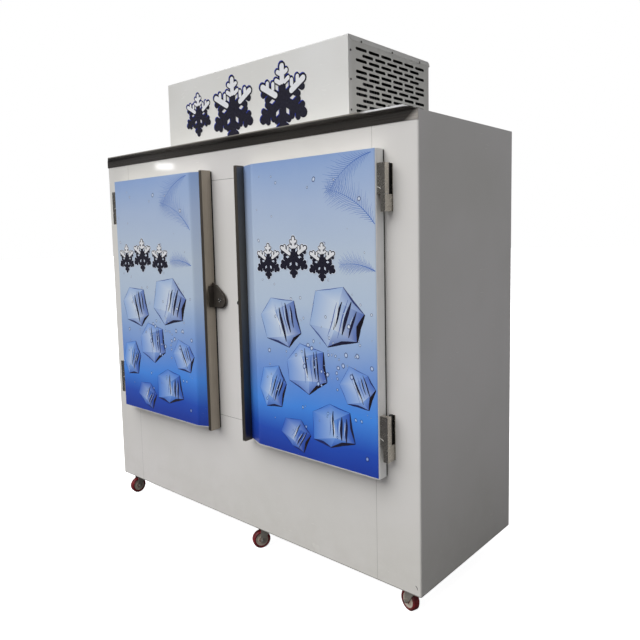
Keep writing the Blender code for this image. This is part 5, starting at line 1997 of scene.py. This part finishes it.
@dataclass
class Machinery:
    """The refrigeration unit under the hood and the evaporator in the cavity."""

    shop: Shop

    def build(self) -> None:
        """Dress the unit and the evaporator."""
        self.shop.dress(GALVANISED, "unit_base")
        self.shop.dress(BLACK_ENAMEL, "compressor")
        self.shop.dress(FINS, "condenser_coil")
        self.shop.dress(BLACK_PLASTIC, "fan_shroud", "condenser_fan", "evaporator_fan")
        self.shop.dress(GRILLE_SHEET, "control_box")
        self.shop.dress(LINER, "evaporator")


@dataclass
class Hardware:
    """The padlock hasps, the lock stud and the small parts of the hinges."""

    shop: Shop
    rivet: Triple = (-0.1005, -0.3457, 1.055)
    hole: Point = (-0.060, 1.065)
    grommet: Point = (0.0047, 0.0092)
    rivet_radius: float = 0.0038
    plate_rivets: tuple[float, ...] = (0.0150, 0.0220)
    plate_rivet_rise: float = 0.004
    plate_rivet_radius: float = 0.0022
    grommet_rise: float = 0.0014
    # Painted highlight strokes on the padlock ring.
    glint_angles: tuple[float, ...] = (2.5, 0.15, -1.9)
    glint_widths: Point = (0.0034, 0.0026)
    glint_tint: Tint = Tint(236, 232, 224)
    # Span in x of the black spacer behind each hinge leaf.
    shade_spacer_span: Point = (0.8030, 0.8105)
    pin_shift: float = 0.0058
    bushing_profile: tuple[Point, ...] = (
        (0.0, -0.0022),
        (0.0100, -0.0022),
        (0.0108, -0.0014),
        (0.0108, 0.0022),
        (0.0100, 0.0030),
        (0.0, 0.0030),
    )
    pin_profile: tuple[Point, ...] = (
        (0.0, -0.001),
        (0.0062, -0.001),
        (0.0062, 0.0004),
        (0.0050, 0.0015),
        (0.0026, 0.0021),
        (0.0, 0.0022),
    )
    # Ends, widths and colour of the painted highlight on each hinge's cam edge.
    cam_start: Point = (0.800, 0.0175)
    cam_end: Point = (0.7862, 0.0245)
    cam_widths: Point = (0.0022, 0.0016)
    cam_highlight_tint: Tint = Tint(226, 224, 218)

    def build(self) -> None:
        """Dress the hasps and the stud and add the small parts."""
        self.shop.dress(HASP_STEEL, "door_hasp", "frame_hasp")
        self.shop.dress(BLACK_ENAMEL, "lock_stud")
        front = self._plate_front()
        self._rivets(front)
        self._grommet(front)
        for side in Side:
            for level in ("upper", "lower"):
                self._hinge(side, level)

    def _rivets(self, front: float) -> None:
        """The rivet in the hasp's knuckle and the two on its plate.

        Args:
            front: The y of the plate's front.
        """
        mesh = bmesh.new()
        Forms.dome_screw(self.rivet, (1.0, 0.0, 0.0), self.rivet_radius, mesh)
        x, z = self.hole
        for across in self.plate_rivets:
            seat = (x + across, front, z + self.plate_rivet_rise)
            Forms.dome_screw(seat, (0.0, -1.0, 0.0), self.plate_rivet_radius, mesh)
        self.shop.place("hasp_rivets", mesh, CHROME, "left_leaf", "stainless")

    def _grommet(self, front: float) -> None:
        """The black ring round the padlock hole, with painted highlight strokes on it.

        Args:
            front: The y of the plate's front.
        """
        x, z = self.hole
        inner, outer = self.grommet
        profile = [
            (inner, -0.0006),
            (outer, -0.0006),
            (outer, 0.0006),
            (outer - 0.0008, self.grommet_rise),
            (inner, 0.0010),
            (inner, -0.0006),
        ]
        ring = Forms.turn(profile, 28, Forms.facing((x, front, z), (0.0, -1.0, 0.0)))
        self.shop.place("hasp_grommet", ring, BLACK_PLASTIC, "left_leaf", "stainless")
        # Painted highlights: bright strokes printed on the ring.
        glints = InkSheet(front - self.grommet_rise)
        for angle in self.glint_angles:
            start = Vector(self.hole) + bearing(angle) * (inner + 0.0002)
            end = Vector(self.hole) + bearing(angle) * (outer - 0.0006)
            glints.strip([tuple(start), tuple(end)], self.glint_widths, [self.glint_tint] * 2, 1)
        glints.build("hasp_grommet_glints", self.shop, "left_leaf", "stainless")

    def _plate_front(self) -> float:
        """The y of the hasp plate's front, read from its mesh round the padlock hole."""
        middle = Vector(self.hole)
        corners = [corner.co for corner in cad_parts["door_hasp"].data.vertices]
        return min(corner.y for corner in corners if (Vector((corner.x, corner.z)) - middle).length < 0.012)

    def _hinge(self, side: Side, level: str) -> None:
        """The black spacer behind a hinge leaf, which also stands for the shade in the gap there, its
        bushing, its pin's end and a painted highlight on the cam edge.

        Args:
            side: The hinge's side of the cabinet.
            level: Whether it is the upper or the lower hinge.
        """
        name = f"{side.word}_{level}_hinge"
        leaf = f"{side.word}_leaf"
        low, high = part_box(f"{name}_leaf")
        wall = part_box("right_wall")[0][1]
        # A black spacer behind the leaf, which also stands for the shade in the gap between the leaf and
        # the wall.
        shade_spacer = bmesh.new()
        near, far = sorted(side.value * edge for edge in self.shade_spacer_span)
        Forms.bar((near, high[1] + 0.0012, low[2]), (far, wall - 0.0032, high[2] + 0.002), 0.0012, shade_spacer)
        self.shop.place(f"{name}_cushion", shade_spacer, BLACK_PLASTIC, "cabinet", "black_plastic")
        axis = ((low[0] + high[0]) / 2 + side.value * self.pin_shift, (low[1] + high[1]) / 2)
        bushing = Forms.turn(self.bushing_profile, 24, Matrix.Translation((*axis, low[2])))
        self.shop.place(f"{name}_bushing", bushing, BUSHING, "cabinet", "white_liner")
        pin = Forms.turn(self.pin_profile, 20, Matrix.Translation((*axis, high[2])))
        self.shop.place(f"{name}_pin_end", pin, CHROME, leaf, "stainless")
        # Painted highlight along the cam edge of the leaf.
        cam = InkSheet(low[1])
        line = [(side.value * x, low[2] + rise) for x, rise in (self.cam_start, self.cam_end)]
        cam.strip(line, self.cam_widths, [self.cam_highlight_tint] * 2, 1)
        cam.build(f"{name}_cam_edge", self.shop, leaf, "stainless")


@dataclass
class Caster:
    """One swivel caster: its fork, its wheel and the small parts on its axle."""

    shop: Shop
    name: str
    hub_depth: float = 0.0055
    hub_profile: tuple[Point, ...] = (
        (0.0112, 0.0),
        (0.0285, 0.0),
        (0.0285, 0.0022),
        (0.0270, 0.0030),
        (0.0240, 0.0030),
        (0.0225, 0.0018),
        (0.0165, 0.0018),
        (0.0150, 0.0040),
        (0.0125, 0.0046),
        (0.0112, 0.0040),
        (0.0112, 0.0),
    )
    axle_steps: int = 360
    axle_band: float = 0.012
    fork_reach: float = 0.035
    nut: Point = (0.0062, 0.004)

    def build(self) -> None:
        """Dress the caster and add its hub discs and nuts."""
        self.shop.dress(CASTER_ZINC, f"{self.name}_fork")
        self.shop.dress(RED_TYRE, f"{self.name}_wheel")
        spin, half = self._axle()
        self._hubs(spin, half)
        self._nuts(spin)

    def _axle(self) -> tuple[Matrix, float]:
        """Find the wheel's axle from its mesh.

        Returns:
            A matrix at the wheel's middle with +Z along its axle, and half the wheel's width.
        """
        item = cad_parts[f"{self.name}_wheel"]
        low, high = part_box(f"{self.name}_wheel")
        centre = (Vector(low) + Vector(high)) / 2
        near = [v.co - centre for v in item.data.vertices if abs(v.co.z - centre.z) < self.axle_band]
        flat = [Vector((point.x, point.y)) for point in near]
        best, way = math.inf, Vector((1.0, 0.0))
        for step in range(self.axle_steps):
            axis = bearing(math.pi * step / self.axle_steps)
            reach = [point.dot(axis) for point in flat]
            width = max(reach) - min(reach)
            if width < best:
                best, way = width, axis
        return Forms.facing(tuple(centre), (way.x, way.y, 0.0)), best / 2

    def _hubs(self, spin: Matrix, half: float) -> None:
        """A stepped hub disc in the hollow on each side of the wheel.

        Args:
            spin: The axle's place.
            half: Half the wheel's width.
        """
        mesh = bmesh.new()
        for side in (-1, 1):
            flip = Matrix.Diagonal((1.0, 1.0, side, 1.0))
            profile = [(radius, half - self.hub_depth + rise) for radius, rise in self.hub_profile]
            Forms.turn(profile, 28, spin @ flip, mesh)
        self.shop.place(f"{self.name}_hub_discs", mesh, HUB, f"{self.name}_roller", "red_wheel")

    def _nuts(self, spin: Matrix) -> None:
        """A nut on one end of the axle and a bolt head on the other.

        Args:
            spin: The axle's place.
        """
        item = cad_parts[f"{self.name}_fork"]
        hub = spin.translation
        near = [v.co for v in item.data.vertices if (v.co - hub).length < self.fork_reach]
        axis = (spin.to_3x3() @ Vector((0.0, 0.0, 1.0))).normalized()
        reach = max(abs((point - hub).dot(axis)) for point in near)
        mesh = bmesh.new()
        for side in (-1, 1):
            way = axis * side
            Forms.hex_nut(tuple(hub + way * (reach - 0.0002)), tuple(way), *self.nut, mesh)
        self.shop.place(f"{self.name}_axle_nuts", mesh, SCREW_ZINC, f"{self.name}_swivel", "zinc_plate")


@dataclass
class Studio:
    """The floor, the lights and the camera."""

    shop: Shop
    camera_spot: Triple = (1.98908, -2.02349, 1.33657)
    yaw: float = 0.7226293867565247
    pitch: float = 0.09782251120317291
    roll: float = -0.02208397549284235
    focal: float = 623.46
    middle: Point = (318.489, 294.705)
    frame_size: float = 640.0
    floor_reach: float = 40.0
    room_light: Colour = (0.22, 0.22, 0.225, 1.0)
    key_height: float = math.radians(54.0)
    key_swing: float = math.radians(25.0)
    key_strength: float = 3.1
    key_spread: float = math.radians(70.0)
    lights: tuple[tuple[str, Triple, Triple, float, Point], ...] = (
        ("shop_lamp", (-4.24, -3.0, 2.157), (-0.43, -0.3, 1.65), 0.9, (0.20, 0.075)),
    )

    def build(self) -> None:
        """Set the whole studio."""
        self._view_settings()
        self._floor()
        self._world()
        self._key()
        for name, spot, aim, power, size in self.lights:
            self._light(name, spot, aim, power, size)
        self._camera()

    @staticmethod
    def _view_settings() -> None:
        """Use plain screen colours."""
        bpy.context.scene.view_settings.view_transform = "Standard"
        bpy.context.scene.view_settings.look = "None"

    def _floor(self) -> None:
        """A wide pale floor."""
        mesh = bmesh.new()
        bmesh.ops.create_grid(mesh, x_segments=8, y_segments=8, size=self.floor_reach)
        data = bpy.data.meshes.new("floor")
        mesh.to_mesh(data)
        mesh.free()
        data.materials.append(self.shop.finish(FLOOR))
        item = stand("floor", data)

    def _world(self) -> None:
        """A white room to look at that lights the object more softly."""
        world = bpy.data.worlds.new("studio")
        world.use_nodes = True
        graph = Graph(world.node_tree)
        back = world.node_tree.nodes["Background"]
        path = graph.node("ShaderNodeLightPath")
        seen = graph.mix(path.outputs["Is Camera Ray"], self.room_light, WHITE.linear())
        graph.feed(back.inputs["Color"], seen)
        bpy.context.scene.world = world

    def _key(self) -> None:
        """A wide soft key from high on the front left, even over the whole floor."""
        lamp = bpy.data.lights.new("key_light", "SUN")
        lamp.energy = self.key_strength
        lamp.angle = self.key_spread
        item = stand("key_light", lamp)
        flat = math.cos(self.key_height)
        fall = -math.sin(self.key_height)
        towards = Vector((math.sin(self.key_swing) * flat, math.cos(self.key_swing) * flat, fall))
        item.rotation_euler = towards.to_track_quat("-Z", "Y").to_euler()

    @staticmethod
    def _light(name: str, spot: Triple, aim: Triple, power: float, size: Point) -> None:
        """Hang one area light.

        Args:
            name: Its name.
            spot: Where it hangs.
            aim: What it points at.
            power: Watts.
            size: Its width and height.
        """
        lamp = bpy.data.lights.new(name, "AREA")
        lamp.shape = "RECTANGLE"
        lamp.size, lamp.size_y = size
        lamp.energy = power
        item = stand(name, lamp)
        item.location = spot
        item.rotation_euler = (Vector(aim) - Vector(spot)).to_track_quat("-Z", "Y").to_euler()

    def _camera(self) -> None:
        """Stand the camera where the photographer stood."""
        cy, sy = math.cos(self.yaw), math.sin(self.yaw)
        cp, sp = math.cos(self.pitch), math.sin(self.pitch)
        ahead = Vector((-sy * cp, cy * cp, -sp))
        right = Vector((cy, sy, 0.0))
        up = right.cross(ahead)
        cr, sr = math.cos(self.roll), math.sin(self.roll)
        across = right * cr + up * sr
        above = up * cr - right * sr
        lens = bpy.data.cameras.new("camera")
        lens.sensor_fit = "HORIZONTAL"
        lens.sensor_width = 36.0
        lens.lens = self.focal / self.frame_size * lens.sensor_width
        lens.shift_x = (self.frame_size / 2 - self.middle[0]) / self.frame_size
        lens.shift_y = (self.middle[1] - self.frame_size / 2) / self.frame_size
        lens.clip_end = 200.0
        item = stand("camera", lens)
        turn = Matrix((across, above, -ahead)).transposed().to_4x4()
        item.matrix_world = Matrix.Translation(self.camera_spot) @ turn
        bpy.context.scene.camera = item


def main() -> None:
    """Build and dress every sub-assembly, in order."""
    logging.basicConfig(level=logging.INFO, format="%(message)s")
    shop = Shop()
    Studio(shop).build()
    Cabinet(shop).build()
    for side in Side:
        Door(shop, side).build()
    Hood(shop).build()
    Machinery(shop).build()
    Hardware(shop).build()
    for row in ("front", "rear"):
        for place in ("left", "middle", "right"):
            Caster(shop, f"{row}_{place}").build()


if __name__ == "__main__":
    main()
